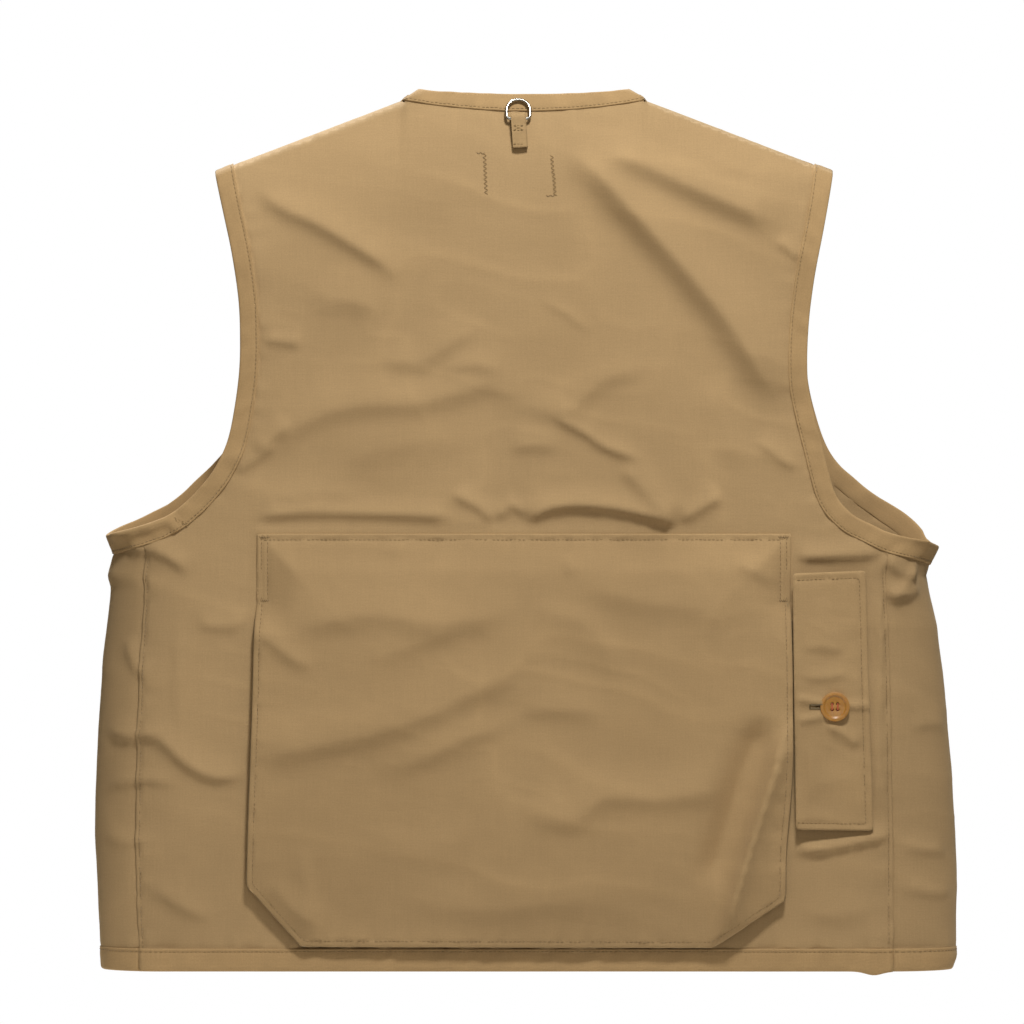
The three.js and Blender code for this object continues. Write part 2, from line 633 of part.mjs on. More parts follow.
const creelFlapX = [FLAP_INNER, FLAP_OUTER];
const creelFlap = slab(1, 1, (i, j) => [-creelFlapX[i], j ? -FLAP_TOP : -FLAP_BOTTOM],
  (i) => creelFlapLow(creelFlapX[i]), (i) => creelFlapLow(creelFlapX[i]) + CLOTH);
const creelHole = roundTool(BUTTON_R + BUTTON_CLEAR, -FLAP_BUTTON_X, -FLAP_BUTTON_Z, 1);
piece('creel_flap', cut(creelFlap, creelHole), FINISHES.pocket);
const creelButton = button(-FLAP_BUTTON_X, -FLAP_BUTTON_Z, 1, SEWN, creelFlapLow(FLAP_BUTTON_X) + CLOTH);
piece('creel_flap_button', creelButton, FINISHES.button);

// ---- Front pockets: bellows, flap and button ----

for (const [kind, size] of [['chest', CHEST], ['lower', LOWER]]) {
  const face = SEWN + size.deep;
  for (const [name, side] of SIDES) {
    const shell = frontBlock(side, size.inner, size.outer, -size.bottom, -size.top, SEWN, face);
    const hollow = frontBlock(side, size.inner + CLOTH, size.outer - CLOTH, -size.bottom + CLOTH, -size.top + 5,
      SEWN - 5, face - CLOTH);
    piece(`${kind}_pocket_${name}`, cut(shell, hollow), FINISHES.pocket);

    const flapX = [size.inner - FLAP_OVERHANG, size.outer + FLAP_OVERHANG];
    const flapZ = [-size.flapBottom, -size.top + GAP, -size.flapTop];
    const flapLow = [face + GAP, face + GAP, SEWN];
    const flap = slab(1, 2, (i, j) => [frontA(side, flapX[i]), flapZ[j]], (i, j) => flapLow[j],
      (i, j) => flapLow[j] + CLOTH);
    const middle = side * (size.inner + size.outer) / 2;
    const buttonZ = -size.flapBottom + POCKET_BUTTON_UP + CLOTH;
    const hole = roundTool(BUTTON_R + BUTTON_CLEAR, middle, buttonZ, -1);
    piece(`${kind}_flap_${name}`, cut(flap, hole), FINISHES.pocket);
    const flapButton = button(middle, buttonZ, -1, face + GAP, face + GAP + CLOTH);
    piece(`${kind}_button_${name}`, flapButton, FINISHES.button);
  }
}

// ---- Fleece patch ----

const patch = new THREE.BoxGeometry(PATCH.outer - PATCH.inner, PATCH.thick, PATCH.bottom - PATCH.top);
patch.translate(-(PATCH.inner + PATCH.outer) / 2, -(depthAt(-PATCH.bottom) + SEWN + PATCH.thick / 2),
  -(PATCH.top + PATCH.bottom) / 2);
piece('fly_patch', patch, FINISHES.fleece);

// ---- Zip ----

const TEETH_TOP = V_BOTTOM + TEETH_BELOW_NECK;
const teethOuter = TEETH_INNER + TEETH_WIDE;
const teethFoot = HEM_Z + HEM_BAND - 0.7;
for (const [name, side] of SIDES) {
  const tape = frontBlock(side, teethOuter + GAP, teethOuter + GAP + TAPE_WIDE, teethFoot + 1, -TEETH_TOP + STOP_LONG + 1,
    -GAP - TAPE_THICK, -GAP);
  piece(`zip_tape_${name}`, tape, FINISHES.tape);
  const teeth = frontBlock(side, TEETH_INNER, teethOuter, teethFoot, -TEETH_TOP, TEETH_LOW, TEETH_HIGH);
  piece(`zip_teeth_${name}`, teeth, FINISHES.brass);
  const stop = frontBlock(side, TEETH_INNER, teethOuter, -TEETH_TOP + GAP, -TEETH_TOP + STOP_LONG, TEETH_LOW + 0.2,
    TEETH_HIGH);
  piece(`zip_top_stop_${name}`, stop, FINISHES.brass);
}
const boxTop = teethFoot - 1;
piece('zip_box', frontBlock(1, TEETH_INNER - 2, OPENING_X - GAP, boxTop - BOX_LONG, boxTop, TEETH_LOW - 0.6,
  TEETH_HIGH + 0.6), FINISHES.brass);
piece('zip_pin', frontBlock(-1, TEETH_INNER + 1, teethOuter - 0.6, boxTop - BOX_LONG, boxTop, TEETH_LOW + 0.2,
  TEETH_HIGH - 0.2), FINISHES.brass);

const slideFoot = teethFoot + 1;
const slideHead = slideFoot + SLIDER_LONG;
const plateX = [TEETH_INNER - 5.5, teethOuter + 1.8];
const topLow = TEETH_HIGH + GAP;
const topHigh = topLow + SLIDER_PLATE;
const topPlate = frontBlock(1, ...plateX, slideFoot, slideHead, topLow, topHigh);
const underPlate = frontBlock(1, ...plateX, slideFoot, slideHead, TEETH_LOW - GAP - SLIDER_PLATE, TEETH_LOW - GAP);
const webX = TEETH_INNER - GAP;
const web = frontBlock(1, webX - SLIDER_WEB, webX, slideFoot + 1, slideHead, TEETH_LOW - GAP - 0.5, topLow + 0.5);
const sliderX = (plateX[0] + plateX[1]) / 2;
// The bridge: two posts and a bar along X, which the pull hangs on.
const bridgeZ = slideHead - 3;
const bridgeHigh = topHigh + 3;
const barHalf = PULL_WIDE / 2 + GAP + 1.2;
const posts = [-1, 1].map((end) => {
  const inner = sliderX + end * (barHalf - 1.2);
  const outer = sliderX + end * barHalf;
  return frontBlock(1, Math.min(inner, outer), Math.max(inner, outer), bridgeZ - 1.4, bridgeZ + 1.4, topHigh - 0.5,
    bridgeHigh + BRIDGE_R);
});
const bridgeY = -(depthAt(bridgeZ) + bridgeHigh);
const bar = new THREE.CylinderGeometry(BRIDGE_R, BRIDGE_R, 2 * barHalf - 1, 10);
bar.rotateZ(Math.PI / 2).translate(sliderX, bridgeY, bridgeZ);
piece('zip_slider', join(topPlate, underPlate, web, ...posts, bar), FINISHES.brass);

// The pull: a flat tag with an eye round the bridge bar, hanging down.
const pullEye = BRIDGE_R + GAP;
const eyeR = pullEye + 0.9;
const tag = new THREE.Shape();
tag.absarc(0, 0, eyeR, -0.35, Math.PI + 0.35, false);
tag.lineTo(-PULL_THICK / 2, -PULL_LONG);
tag.lineTo(PULL_THICK / 2, -PULL_LONG);
tag.closePath();
tag.holes.push(new THREE.Path().absarc(0, 0, pullEye, 0, 2 * Math.PI, true));
const pull = new THREE.ExtrudeGeometry(tag, { depth: PULL_WIDE, bevelEnabled: false, curveSegments: 7 });
pull.translate(0, 0, -PULL_WIDE / 2).rotateX(Math.PI / 2).rotateZ(Math.PI / 2);
pull.translate(sliderX, bridgeY, bridgeZ);
piece('zip_pull', pull, FINISHES.brass);

// ---- Net tab and D-ring ----

const tabHead = formPoint(TAB_X, -TAB_TOP, TAB_OFF);
const tabShape = new THREE.Shape();
const tabHalf = TAB_THICK / 2;
tabShape.absarc(0, -tabHalf, tabHalf, 0, Math.PI, false);
tabShape.absarc(0, tabHalf - TAB_LONG, tabHalf, Math.PI, 2 * Math.PI, false);
tabShape.closePath();
tabShape.holes.push(new THREE.Path().absarc(0, -RING_BAR_DOWN, RING_WIRE + GAP, 0, 2 * Math.PI, true));
const tab = new THREE.ExtrudeGeometry(tabShape, { depth: TAB_WIDE, bevelEnabled: false, curveSegments: 8 });
tab.translate(tabHalf, 0, -TAB_WIDE / 2).rotateX(Math.PI / 2).rotateZ(Math.PI / 2);
const tabMesh = piece('net_tab', tab, FINISHES.pocket);
tabMesh.rotation.x = THREE.MathUtils.degToRad(TAB_LEAN);
tabMesh.position.copy(tabHead);

// The D-ring, made round its straight bar at the origin, standing up, then leaned and placed.
const ringLine = [];
const ARC_STEPS = 14;
for (let k = 0; k <= ARC_STEPS; k += 1) {
  const turn = Math.PI * k / ARC_STEPS;
  ringLine.push(new THREE.Vector2(RING_HALF * Math.cos(turn), RING_LEG + RING_HALF * Math.sin(turn)));
}
ringLine.push(new THREE.Vector2(-RING_HALF, 1.2), new THREE.Vector2(1.2 - RING_HALF, 0));
ringLine.push(new THREE.Vector2(RING_HALF - 1.2, 0), new THREE.Vector2(RING_HALF, 1.2));

/** A closed loop of round wire along a flat line of [x, z] points. */
function wireLoop(line, radius, sides) {
  const points = [];
  const triangles = [];
  line.forEach((point, k) => {
    const before = line[(k + line.length - 1) % line.length];
    const after = line[(k + 1) % line.length];
    const along = after.clone().sub(before).normalize();
    for (let s = 0; s < sides; s += 1) {
      const turn = 2 * Math.PI * s / sides;
      const out = radius * Math.cos(turn);
      points.push(new THREE.Vector3(point.x + out * along.y, radius * Math.sin(turn), point.y - out * along.x));
      const next = (k + 1) % line.length;
      const up = (s + 1) % sides;
      triangles.push(k * sides + s, next * sides + s, next * sides + up);
      triangles.push(k * sides + s, next * sides + up, k * sides + up);
    }
  });
  return body(points, triangles);
}

const ring = wireLoop(ringLine, RING_WIRE, 10);
const ringMesh = piece('net_ring', ring, FINISHES.nickel);
const barPlace = new THREE.Vector3(0, tabHalf, -RING_BAR_DOWN).applyEuler(tabMesh.rotation).add(tabHead);
ringMesh.rotation.x = THREE.MathUtils.degToRad(RING_LEAN);
ringMesh.position.copy(barPlace);

// ---- Neck label, inside ----

const labelHeights = steps(3).map((t) => -LABEL.bottom + t * (LABEL.bottom - LABEL.top));
const label = gridSlab([LABEL.right, LABEL.left], labelHeights, -LABEL.off - LABEL.thick, -LABEL.off);
piece('neck_label', label, FINISHES.label);

export default vest;
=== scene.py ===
"""The looks of a fishing vest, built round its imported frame.

The vest hangs by its shoulders: +Z is up, its back faces +Y, its front -Y, and the wearer's left is +X.
Sizes are in millimetres on the cloth and are turned to metres where a mesh is made.
A place on the cloth is (a, z): a is the distance round the girth from the centre back, positive
towards the wearer's left, z is the height, and n is the height above the cloth's inner face.
"""

import json
import logging
import math
from dataclasses import dataclass, field
from enum import Enum
from typing import Callable, Iterable, Sequence

import bpy
import numpy as np
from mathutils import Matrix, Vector, kdtree
from mathutils.geometry import delaunay_2d_cdt

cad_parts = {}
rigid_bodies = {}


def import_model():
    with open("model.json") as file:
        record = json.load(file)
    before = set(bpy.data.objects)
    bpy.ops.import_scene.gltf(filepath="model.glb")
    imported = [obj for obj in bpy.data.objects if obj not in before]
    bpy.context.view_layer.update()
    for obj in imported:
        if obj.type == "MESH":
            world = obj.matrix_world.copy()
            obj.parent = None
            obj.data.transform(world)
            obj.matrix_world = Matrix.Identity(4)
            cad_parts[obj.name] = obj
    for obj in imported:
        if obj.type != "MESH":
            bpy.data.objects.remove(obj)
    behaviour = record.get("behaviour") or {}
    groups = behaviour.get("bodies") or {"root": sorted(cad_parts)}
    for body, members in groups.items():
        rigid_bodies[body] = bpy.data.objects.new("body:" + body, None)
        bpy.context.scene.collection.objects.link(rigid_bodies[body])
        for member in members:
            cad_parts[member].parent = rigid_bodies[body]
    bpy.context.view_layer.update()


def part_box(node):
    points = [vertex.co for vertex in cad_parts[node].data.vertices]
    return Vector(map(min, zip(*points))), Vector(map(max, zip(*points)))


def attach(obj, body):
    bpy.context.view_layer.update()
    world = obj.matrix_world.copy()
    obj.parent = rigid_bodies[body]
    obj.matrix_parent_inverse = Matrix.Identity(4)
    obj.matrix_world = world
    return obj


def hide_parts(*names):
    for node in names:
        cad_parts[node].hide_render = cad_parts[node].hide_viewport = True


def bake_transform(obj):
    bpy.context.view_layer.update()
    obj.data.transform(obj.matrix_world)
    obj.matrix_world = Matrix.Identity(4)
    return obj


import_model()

LOG = logging.getLogger("fishing_vest")

MM = 0.001
SIDES = ((1, "left"), (-1, "right"))  # the wearer's sides and their names
SIDE_HANG = (236, 292)  # from where to where across the vest a side's hang sets in
POUCH_HALF = 185.5  # from the centre back to the pouch's side seams
NECK_HALF, NECK_RISE = 73.0, 9.0  # the neck hole's free edge at the shoulder
SEAM_HALF, SEAM_RISE = 85.0, 2.0  # the neck binding's seam at the shoulder
TIP = 216.0  # from the middle to the shoulder's outer end
FILM_MM = 36.0

Array = np.ndarray
Line = Array  # rows of (a, z)
Height = Callable[[Array, Array], Array]
Material = bpy.types.Material
Piece = bpy.types.Object


def node_box(node: str) -> tuple[Array, Array]:
    """Gives a frame node's lowest and highest corner.

    Args:
        node: The node's name.

    Returns:
        The two corners, in millimetres.
    """
    low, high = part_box(node)
    return np.array(low) / MM, np.array(high) / MM


# ---------------------------------------------------------------- colour and finish


def linear(hex_colour: str) -> tuple[float, float, float, float]:
    """Turns an sRGB hex colour into a linear one with full alpha."""
    values = [int(hex_colour[i : i + 2], 16) / 255 for i in (1, 3, 5)]
    straight = [v / 12.92 if v <= 0.04045 else ((v + 0.055) / 1.055) ** 2.4 for v in values]
    return (*straight, 1.0)


def add_node(tree: bpy.types.NodeTree, kind: str, settings: dict | None = None, **links) -> bpy.types.Node:
    """Adds a shader node.

    Args:
        tree: The material's node tree.
        kind: The node's type name, without ShaderNode before it.
        settings: Attributes of the node, or values of its sockets by name or number.
        links: Sockets, by name with _ for a space, or in0, in1 by number, each linked from a socket.

    Returns:
        The new node.
    """
    node = tree.nodes.new(f"ShaderNode{kind}")
    for key, value in (settings or {}).items():
        if isinstance(key, str) and hasattr(node, key):
            setattr(node, key, value)
        else:
            node.inputs[key].default_value = value
    for key, source in links.items():
        index = int(key[2:]) if key[:2] == "in" and key[2:].isdigit() else key.replace("_", " ")
        tree.links.new(source, node.inputs[index])
    return node


def new_material(name: str) -> tuple[Material, bpy.types.NodeTree]:
    """Adds a material with an empty node tree, and gives both."""
    material = bpy.data.materials.new(name)
    material.use_nodes = True
    material.node_tree.nodes.clear()
    return material, material.node_tree


class Tone(Enum):
    """The cloth's tones: each is a lit colour of the same dyed cotton; the gusset's is darker, with painted shade, as
    it sits back under the pouch's edge.
    """

    PANEL = "#ac8f66"
    BAND = "#a88a60"
    POCKET = "#a98c63"
    # Darker with painted shade: the gusset sits back under the pouch's edge.
    INSIDE = "#8f7a58"


@dataclass(frozen=True)
class PoplinFinish:
    """Cotton poplin, piece-dyed khaki and washed soft: matt, a little fuzzy, with slubs along both threads.

    Real poplin has a thread each 0.25 mm. The weave is drawn three times as coarse, so that it shows.
    """

    name: str
    tone: Tone
    thread_mm: float = 0.75
    slub_mm: float = 0.9
    fade: float = 0.022

    def make(self) -> Material:
        """Builds the material and returns it."""
        material, tree = new_material(self.name)
        uv = add_node(tree, "UVMap", {"uv_map": "Cloth"}).outputs["UV"]
        per_metre = 1 / (self.thread_mm * MM)
        axes = add_node(tree, "SeparateXYZ", None, in0=uv)
        threads = []
        for axis in ("X", "Y"):
            run = add_node(tree, "Math", {"operation": "MULTIPLY", 1: math.pi * per_metre},
                           in0=axes.outputs[axis])
            wave = add_node(tree, "Math", {"operation": "SINE"}, in0=run.outputs[0])
            threads.append(wave.outputs[0])
        crossing = add_node(tree, "Math", {"operation": "MULTIPLY"}, in0=threads[0], in1=threads[1])
        lifted = add_node(tree, "Math", {"operation": "ABSOLUTE"}, in0=crossing.outputs[0])
        slubs = []
        for stretch in ((60.0, 1000 / self.slub_mm, 1.0), (1000 / self.slub_mm, 45.0, 1.0)):
            mapping = add_node(tree, "Mapping", {"Scale": stretch}, Vector=uv)
            noise = add_node(tree, "TexNoise", {"Scale": 1.0, "Detail": 2.0, "Roughness": 0.6},
                             Vector=mapping.outputs[0])
            slubs.append(noise.outputs["Fac"])
        slub = add_node(tree, "Math", {"operation": "ADD"}, in0=slubs[0], in1=slubs[1]).outputs[0]
        fading = add_node(tree, "TexNoise", {"Scale": 7.0, "Detail": 4.0, "Roughness": 0.55}, Vector=uv)
        # The point attribute read here carries wear, which makes the cloth paler, and painted shade, which makes it
        # darker in creases, seam grooves, on the inner face, at the sides and at the foot.
        wear_and_shade = add_node(tree, "Attribute", {"attribute_name": "wear_and_shade"}).outputs["Fac"]
        base = np.array(linear(self.tone.value)[:3])
        light = (*np.clip(base * (1 + 2.2 * self.fade), 0, 1), 1.0)
        dark = (*(base * np.array([1 - 2.4 * self.fade, 1 - 2.7 * self.fade, 1 - 3.4 * self.fade])), 1.0)
        shade = add_node(tree, "MapRange", {"From Min": 0.3, "From Max": 0.7}, Value=fading.outputs["Fac"])
        colour = add_node(tree, "Mix", {"data_type": "RGBA", "clamp_factor": True, 6: dark, 7: light},
                          in0=shade.outputs[0])
        streak = add_node(tree, "MapRange", {"From Min": 0.7, "From Max": 1.3, "To Min": 0.965, "To Max": 1.035},
                          Value=slub)
        grain = add_node(tree, "MapRange", {"To Min": 0.95, "To Max": 1.03}, Value=lifted.outputs[0])
        rubbed_and_shaded = add_node(tree, "MapRange", {"From Min": -1.0, "From Max": 1.0, "To Min": 0.84, "To Max": 1.16},
                        Value=wear_and_shade)
        factor = add_node(tree, "Math", {"operation": "MULTIPLY"}, in0=streak.outputs[0], in1=grain.outputs[0])
        factor = add_node(tree, "Math", {"operation": "MULTIPLY"}, in0=factor.outputs[0], in1=rubbed_and_shaded.outputs[0])
        fuzz = add_node(tree, "TexNoise", {"Scale": 900.0, "Detail": 3.0, "Roughness": 0.7}, Vector=uv)
        speck = add_node(tree, "MapRange", {"From Min": 0.25, "From Max": 0.75, "To Min": 0.91, "To Max": 1.09},
                         Value=fuzz.outputs["Fac"])
        factor = add_node(tree, "Math", {"operation": "MULTIPLY"}, in0=factor.outputs[0], in1=speck.outputs[0])
        tinted = add_node(tree, "VectorMath", {"operation": "SCALE"}, in0=colour.outputs[2],
                          Scale=factor.outputs[0])
        relief = add_node(tree, "Math", {"operation": "MULTIPLY_ADD", 1: 0.5}, in0=slub, in2=lifted.outputs[0])
        relief = add_node(tree, "Math", {"operation": "MULTIPLY_ADD", 1: 0.5}, in0=fuzz.outputs["Fac"],
                          in2=relief.outputs[0])
        bump = add_node(tree, "Bump", {"Strength": 0.32, "Distance": 0.00022}, Height=relief.outputs[0])
        shader = add_node(tree, "BsdfPrincipled", {
            "Roughness": 0.88, "Sheen Weight": 0.22, "Sheen Roughness": 0.45, "Specular IOR Level": 0.25, "IOR": 1.5,
            "Sheen Tint": linear("#e8d9b8"),
        }, Base_Color=tinted.outputs[0], Normal=bump.outputs[0])
        add_node(tree, "OutputMaterial", None, Surface=shader.outputs[0])
        return material


@dataclass(frozen=True)
class ThreadFinish:
    """Spun cotton sewing thread: matt, with a fine twist along it."""

    name: str
    colour: str

    def make(self) -> Material:
        """Builds the material and returns it."""
        material, tree = new_material(self.name)
        place = add_node(tree, "TexCoord").outputs["Object"]
        noise = add_node(tree, "TexNoise", {"Scale": 900.0, "Detail": 2.0}, Vector=place)
        base = np.array(linear(self.colour)[:3])
        pale = (*np.clip(base * 1.25, 0, 1), 1)
        ramp = add_node(tree, "Mix", {"data_type": "RGBA", 6: (*(base * 0.72), 1), 7: pale}, in0=noise.outputs["Fac"])
        bump = add_node(tree, "Bump", {"Strength": 0.4, "Distance": 0.0001}, Height=noise.outputs["Fac"])
        shader = add_node(tree, "BsdfPrincipled", {"Roughness": 0.8, "Sheen Weight": 0.3},
                          Base_Color=ramp.outputs[2], Normal=bump.outputs[0])
        add_node(tree, "OutputMaterial", None, Surface=shader.outputs[0])
        return material


@dataclass(frozen=True)
class CastPlasticFinish:
    """Cast polyester button plastic: amber-mustard, cloudy, softly polished and scuffed."""

    name: str
    colour: str = "#a87730"

    def make(self) -> Material:
        """Builds the material and returns it."""
        material, tree = new_material(self.name)
        place = add_node(tree, "TexCoord").outputs["Object"]
        cloud = add_node(tree, "TexNoise", {"Scale": 160.0, "Detail": 5.0, "Distortion": 1.2}, Vector=place)
        base = np.array(linear(self.colour)[:3])
        deep, pale = (*(base * np.array([0.72, 0.66, 0.55])), 1), (*np.clip(base * 1.25, 0, 1), 1)
        colour = add_node(tree, "Mix", {"data_type": "RGBA", 6: deep, 7: pale}, in0=cloud.outputs["Fac"])
        scuff = add_node(tree, "TexNoise", {"Scale": 2400.0, "Detail": 3.0}, Vector=place)
        rough = add_node(tree, "MapRange", {"To Min": 0.24, "To Max": 0.44}, Value=scuff.outputs["Fac"])
        bump = add_node(tree, "Bump", {"Strength": 0.12, "Distance": 0.0001}, Height=scuff.outputs["Fac"])
        shader = add_node(tree, "BsdfPrincipled", {
            "IOR": 1.54, "Subsurface Weight": 0.12, "Subsurface Scale": 0.002, "Coat Weight": 0.25,
            "Coat Roughness": 0.2,
        }, Base_Color=colour.outputs[2], Roughness=rough.outputs[0], Normal=bump.outputs[0])
        add_node(tree, "OutputMaterial", None, Surface=shader.outputs[0])
        return material


@dataclass(frozen=True)
class MetalFinish:
    """Plated or bare metal: bright where it rubs, dull and spotted elsewhere."""

    name: str
    bright: str
    dull: str
    smooth: float
    rough: float

    def make(self) -> Material:
        """Builds the material and returns it."""
        material, tree = new_material(self.name)
        place = add_node(tree, "TexCoord").outputs["Object"]
        spots = add_node(tree, "TexNoise", {"Scale": 420.0, "Detail": 4.0, "Roughness": 0.65}, Vector=place)
        mask = add_node(tree, "MapRange", {"From Min": 0.42, "From Max": 0.68}, Value=spots.outputs["Fac"])
        colour = add_node(tree, "Mix", {"data_type": "RGBA", 6: linear(self.bright), 7: linear(self.dull)},
                          in0=mask.outputs[0])
        rough = add_node(tree, "MapRange", {"To Min": self.smooth, "To Max": self.rough},
                         Value=mask.outputs[0])
        bump = add_node(tree, "Bump", {"Strength": 0.08, "Distance": 0.0001}, Height=spots.outputs["Fac"])
        shader = add_node(tree, "BsdfPrincipled", {"Metallic": 1.0},
                          Base_Color=colour.outputs[2], Roughness=rough.outputs[0], Normal=bump.outputs[0])
        add_node(tree, "OutputMaterial", None, Surface=shader.outputs[0])
        return material


@dataclass(frozen=True)
class FleeceFinish:
    """Natural shearling: a deep soft pile in small curls, off-white."""

    name: str

    def make(self) -> Material:
        """Builds the material and returns it."""
        material, tree = new_material(self.name)
        place = add_node(tree, "TexCoord").outputs["Object"]
        curl = add_node(tree, "TexNoise", {"Scale": 420.0, "Detail": 5.0, "Distortion": 2.0}, Vector=place)
        colour = add_node(tree, "Mix", {"data_type": "RGBA", 6: linear("#a8997c"), 7: linear("#efe6d0")},
                          in0=curl.outputs["Fac"])
        bump = add_node(tree, "Bump", {"Strength": 0.8, "Distance": 0.0008}, Height=curl.outputs["Fac"])
        shader = add_node(tree, "BsdfPrincipled", {"Roughness": 0.95, "Sheen Weight": 0.6},
                          Base_Color=colour.outputs[2], Normal=bump.outputs[0])
        add_node(tree, "OutputMaterial", None, Surface=shader.outputs[0])
        return material


# ---------------------------------------------------------------- the vest's form


# How far each side hangs out of the smooth form, as (distance below the origin, distance outwards).
LEFT_SIDE = ((285, 0), (300, -4), (313, -8.5), (330, -4.5), (338, -6.5), (383, -1.6), (440, 1.2), (510, 3),
             (561, 1.4), (604, -2))
RIGHT_SIDE = ((285, 0), (305, -5), (318, -11), (329, -15), (345, -12), (364, -8), (396, -3.6), (453, 1.4), (510, 5),
              (596, 6), (604, 3))


@dataclass
class Form:
    """The smooth form that the vest hangs in, as the frame has it.

    Args:
        flat_half: Half width of the flat back and the flat front.
        top_depth: Half of the depth at the shoulders.
        shoulder_round: Height over which the cloth rolls over the shoulder.
        shoulder_slope: Drop of the shoulder for each millimetre outwards.
        neck_half: Neck seam from the centre, at the shoulder.
        neck_z: Height of the shoulder at the neck.
        neck_arch: Rise of the neck hole's rim line.
        band: Thickness of a folded binding.
    """

    flat_half: float = 251.0
    top_depth: float = 26.0
    shoulder_round: float = 80.0
    shoulder_slope: float = 0.382
    neck_half: float = 85.0
    neck_z: float = 2.0
    neck_arch: float = 14.0
    band: float = 2.4
    hem_z: float = field(init=False)
    side_round: float = field(init=False)
    hem_depth: float = field(init=False)

    def __post_init__(self) -> None:
        """Takes the hem's height, the girth and the depth from the frame."""
        low, high = node_box("hem_band_left")
        self.hem_z = float(low[2])
        self.side_round = float(high[0]) - self.band - self.flat_half
        self.hem_depth = float(-low[1]) - self.band
        mean = (self.top_depth + self.hem_depth) / 2
        r = self.side_round
        self.side_arc = math.pi / 2 * (3 * (r + mean) - math.sqrt((3 * r + mean) * (r + 3 * mean)))
        self.centre_front = 2 * self.flat_half + self.side_arc

    def depth(self, z: Array) -> Array:
        """Gives half of the depth at height z."""
        return self.top_depth + (self.hem_depth - self.top_depth) * z / self.hem_z

    def ridge(self, x: Array) -> Array:
        """Gives the height of the shoulder line, or the neck's rim line, at x."""
        out = np.abs(x)
        arch = np.sqrt(np.clip(1 - (out / self.neck_half) ** 2, 0, 1))
        sloped = self.neck_z - (out - self.neck_half) * self.shoulder_slope
        return np.where(out >= self.neck_half, sloped, self.neck_z + self.neck_arch * arch)

    def at(self, a: Array, z: Array, n: Array) -> Array:
        """Maps places on the cloth to points.

        Args:
            a: Distances round the girth from the centre back.
            z: Heights.
            n: Heights above the cloth's inner face.

        Returns:
            One row of x, y, z for each place, in millimetres.
        """
        a, z, n = (np.asarray(v, dtype=float) for v in (a, z, n))
        side = np.where(a < 0, -1.0, 1.0)
        run = np.abs(a)
        half = self.depth(z)
        turn = np.clip((run - self.flat_half) / self.side_arc, 0, 1) * math.pi
        x = self.flat_half + self.side_round * np.sin(turn)
        x = np.where(run < self.flat_half, run, x)
        x = np.where(run > self.flat_half + self.side_arc, self.centre_front - run, x)
        hang = np.where(a < 0, np.interp(-z, *zip(*RIGHT_SIDE)), np.interp(-z, *zip(*LEFT_SIDE)))
        x = x + hang * smooth(x, *SIDE_HANG)
        rise = 1 - np.clip(self.ridge(x) - z, 0, self.shoulder_round) / self.shoulder_round
        spread = np.sqrt(np.clip(1 - rise * rise, 0, 1))
        y = half * np.cos(turn) * spread
        normal = np.stack([np.sin(turn) / self.side_round, np.cos(turn) * spread / half, rise / self.shoulder_round],
                          -1)
        normal /= np.linalg.norm(normal, axis=-1, keepdims=True)
        return np.stack([side * (x + n * normal[..., 0]), y + n * normal[..., 1], z + n * normal[..., 2]], -1)


FORM = Form()

# ---------------------------------------------------------------- lines and relief


def smooth(value: Array, low: float, high: float) -> Array:
    """Gives 0 below low, 1 above high, and an eased share between them."""
    t = np.clip((value - low) / (high - low), 0, 1)
    return t * t * (3 - 2 * t)


def lattice(ix: Array, iy: Array, seed: int) -> Array:
    """Gives a fixed value from -1 to 1 for each whole-number place."""
    mask = 0xFFFFFFFF
    n = (ix * 374761393 + iy * 668265263 + seed * 1442695041) & mask
    n = ((n ^ (n >> 13)) * 1274126177) & mask
    return ((n ^ (n >> 16)) & 0xFFFF) / 32767.5 - 1


def noise(u: Array, v: Array, size: float, seed: int) -> Array:
    """Gives smooth noise from -1 to 1 with lumps of the given size."""
    u, v = u / size, v / size
    iu, iv = np.floor(u).astype(np.int64), np.floor(v).astype(np.int64)
    fu, fv = u - iu, v - iv
    su, sv = (f * f * f * (f * (f * 6 - 15) + 10) for f in (fu, fv))
    low = lattice(iu, iv, seed) * (1 - su) + lattice(iu + 1, iv, seed) * su
    high = lattice(iu, iv + 1, seed) * (1 - su) + lattice(iu + 1, iv + 1, seed) * su
    return low * (1 - sv) + high * sv


def spline(points: Sequence[tuple[float, float]], step: float) -> Line:
    """Draws a smooth line through points.

    Args:
        points: The points that the line passes.
        step: The distance between the line's samples.

    Returns:
        The line's samples, evenly spaced.
    """
    p = np.array(points, dtype=float)
    padded = np.vstack([2 * p[0] - p[1], p, 2 * p[-1] - p[-2]])
    t = np.linspace(0, 1, 24, endpoint=False)[:, None]
    runs = []
    for k in range(len(p) - 1):
        a, b, c, d = padded[k : k + 4]
        runs.append(0.5 * (2 * b + (c - a) * t + (2 * a - 5 * b + 4 * c - d) * t**2 + (3 * b - a - 3 * c + d) * t**3))
    return respaced(np.vstack([*runs, p[-1:]]), step)


def distances(line: Line) -> Array:
    """Gives how far along a line each of its points is."""
    return np.concatenate([[0], np.cumsum(np.linalg.norm(np.diff(line, axis=0), axis=1))])


def length_of(line: Line) -> float:
    """Gives a line's length."""
    return float(np.linalg.norm(np.diff(line, axis=0), axis=1).sum())


def respaced(line: Line, step: float) -> Line:
    """Samples a line again at an even spacing of about step."""
    lengths = distances(line)
    count = max(2, int(round(lengths[-1] / step)) + 1)
    at = np.linspace(0, lengths[-1], count)
    return np.stack([np.interp(at, lengths, line[:, k]) for k in range(line.shape[1])], -1)


def straight(points: Sequence[tuple[float, float]], step: float) -> Line:
    """Draws straight runs between points, sampled at about step, with each corner kept."""
    runs = []
    for start, end in zip(points[:-1], points[1:]):
        count = max(1, int(round(math.dist(start, end) / step)))
        t = np.linspace(0, 1, count, endpoint=False)[:, None]
        runs.append(np.array(start) * (1 - t) + np.array(end) * t)
    return np.vstack([*runs, np.array(points[-1:], dtype=float)])


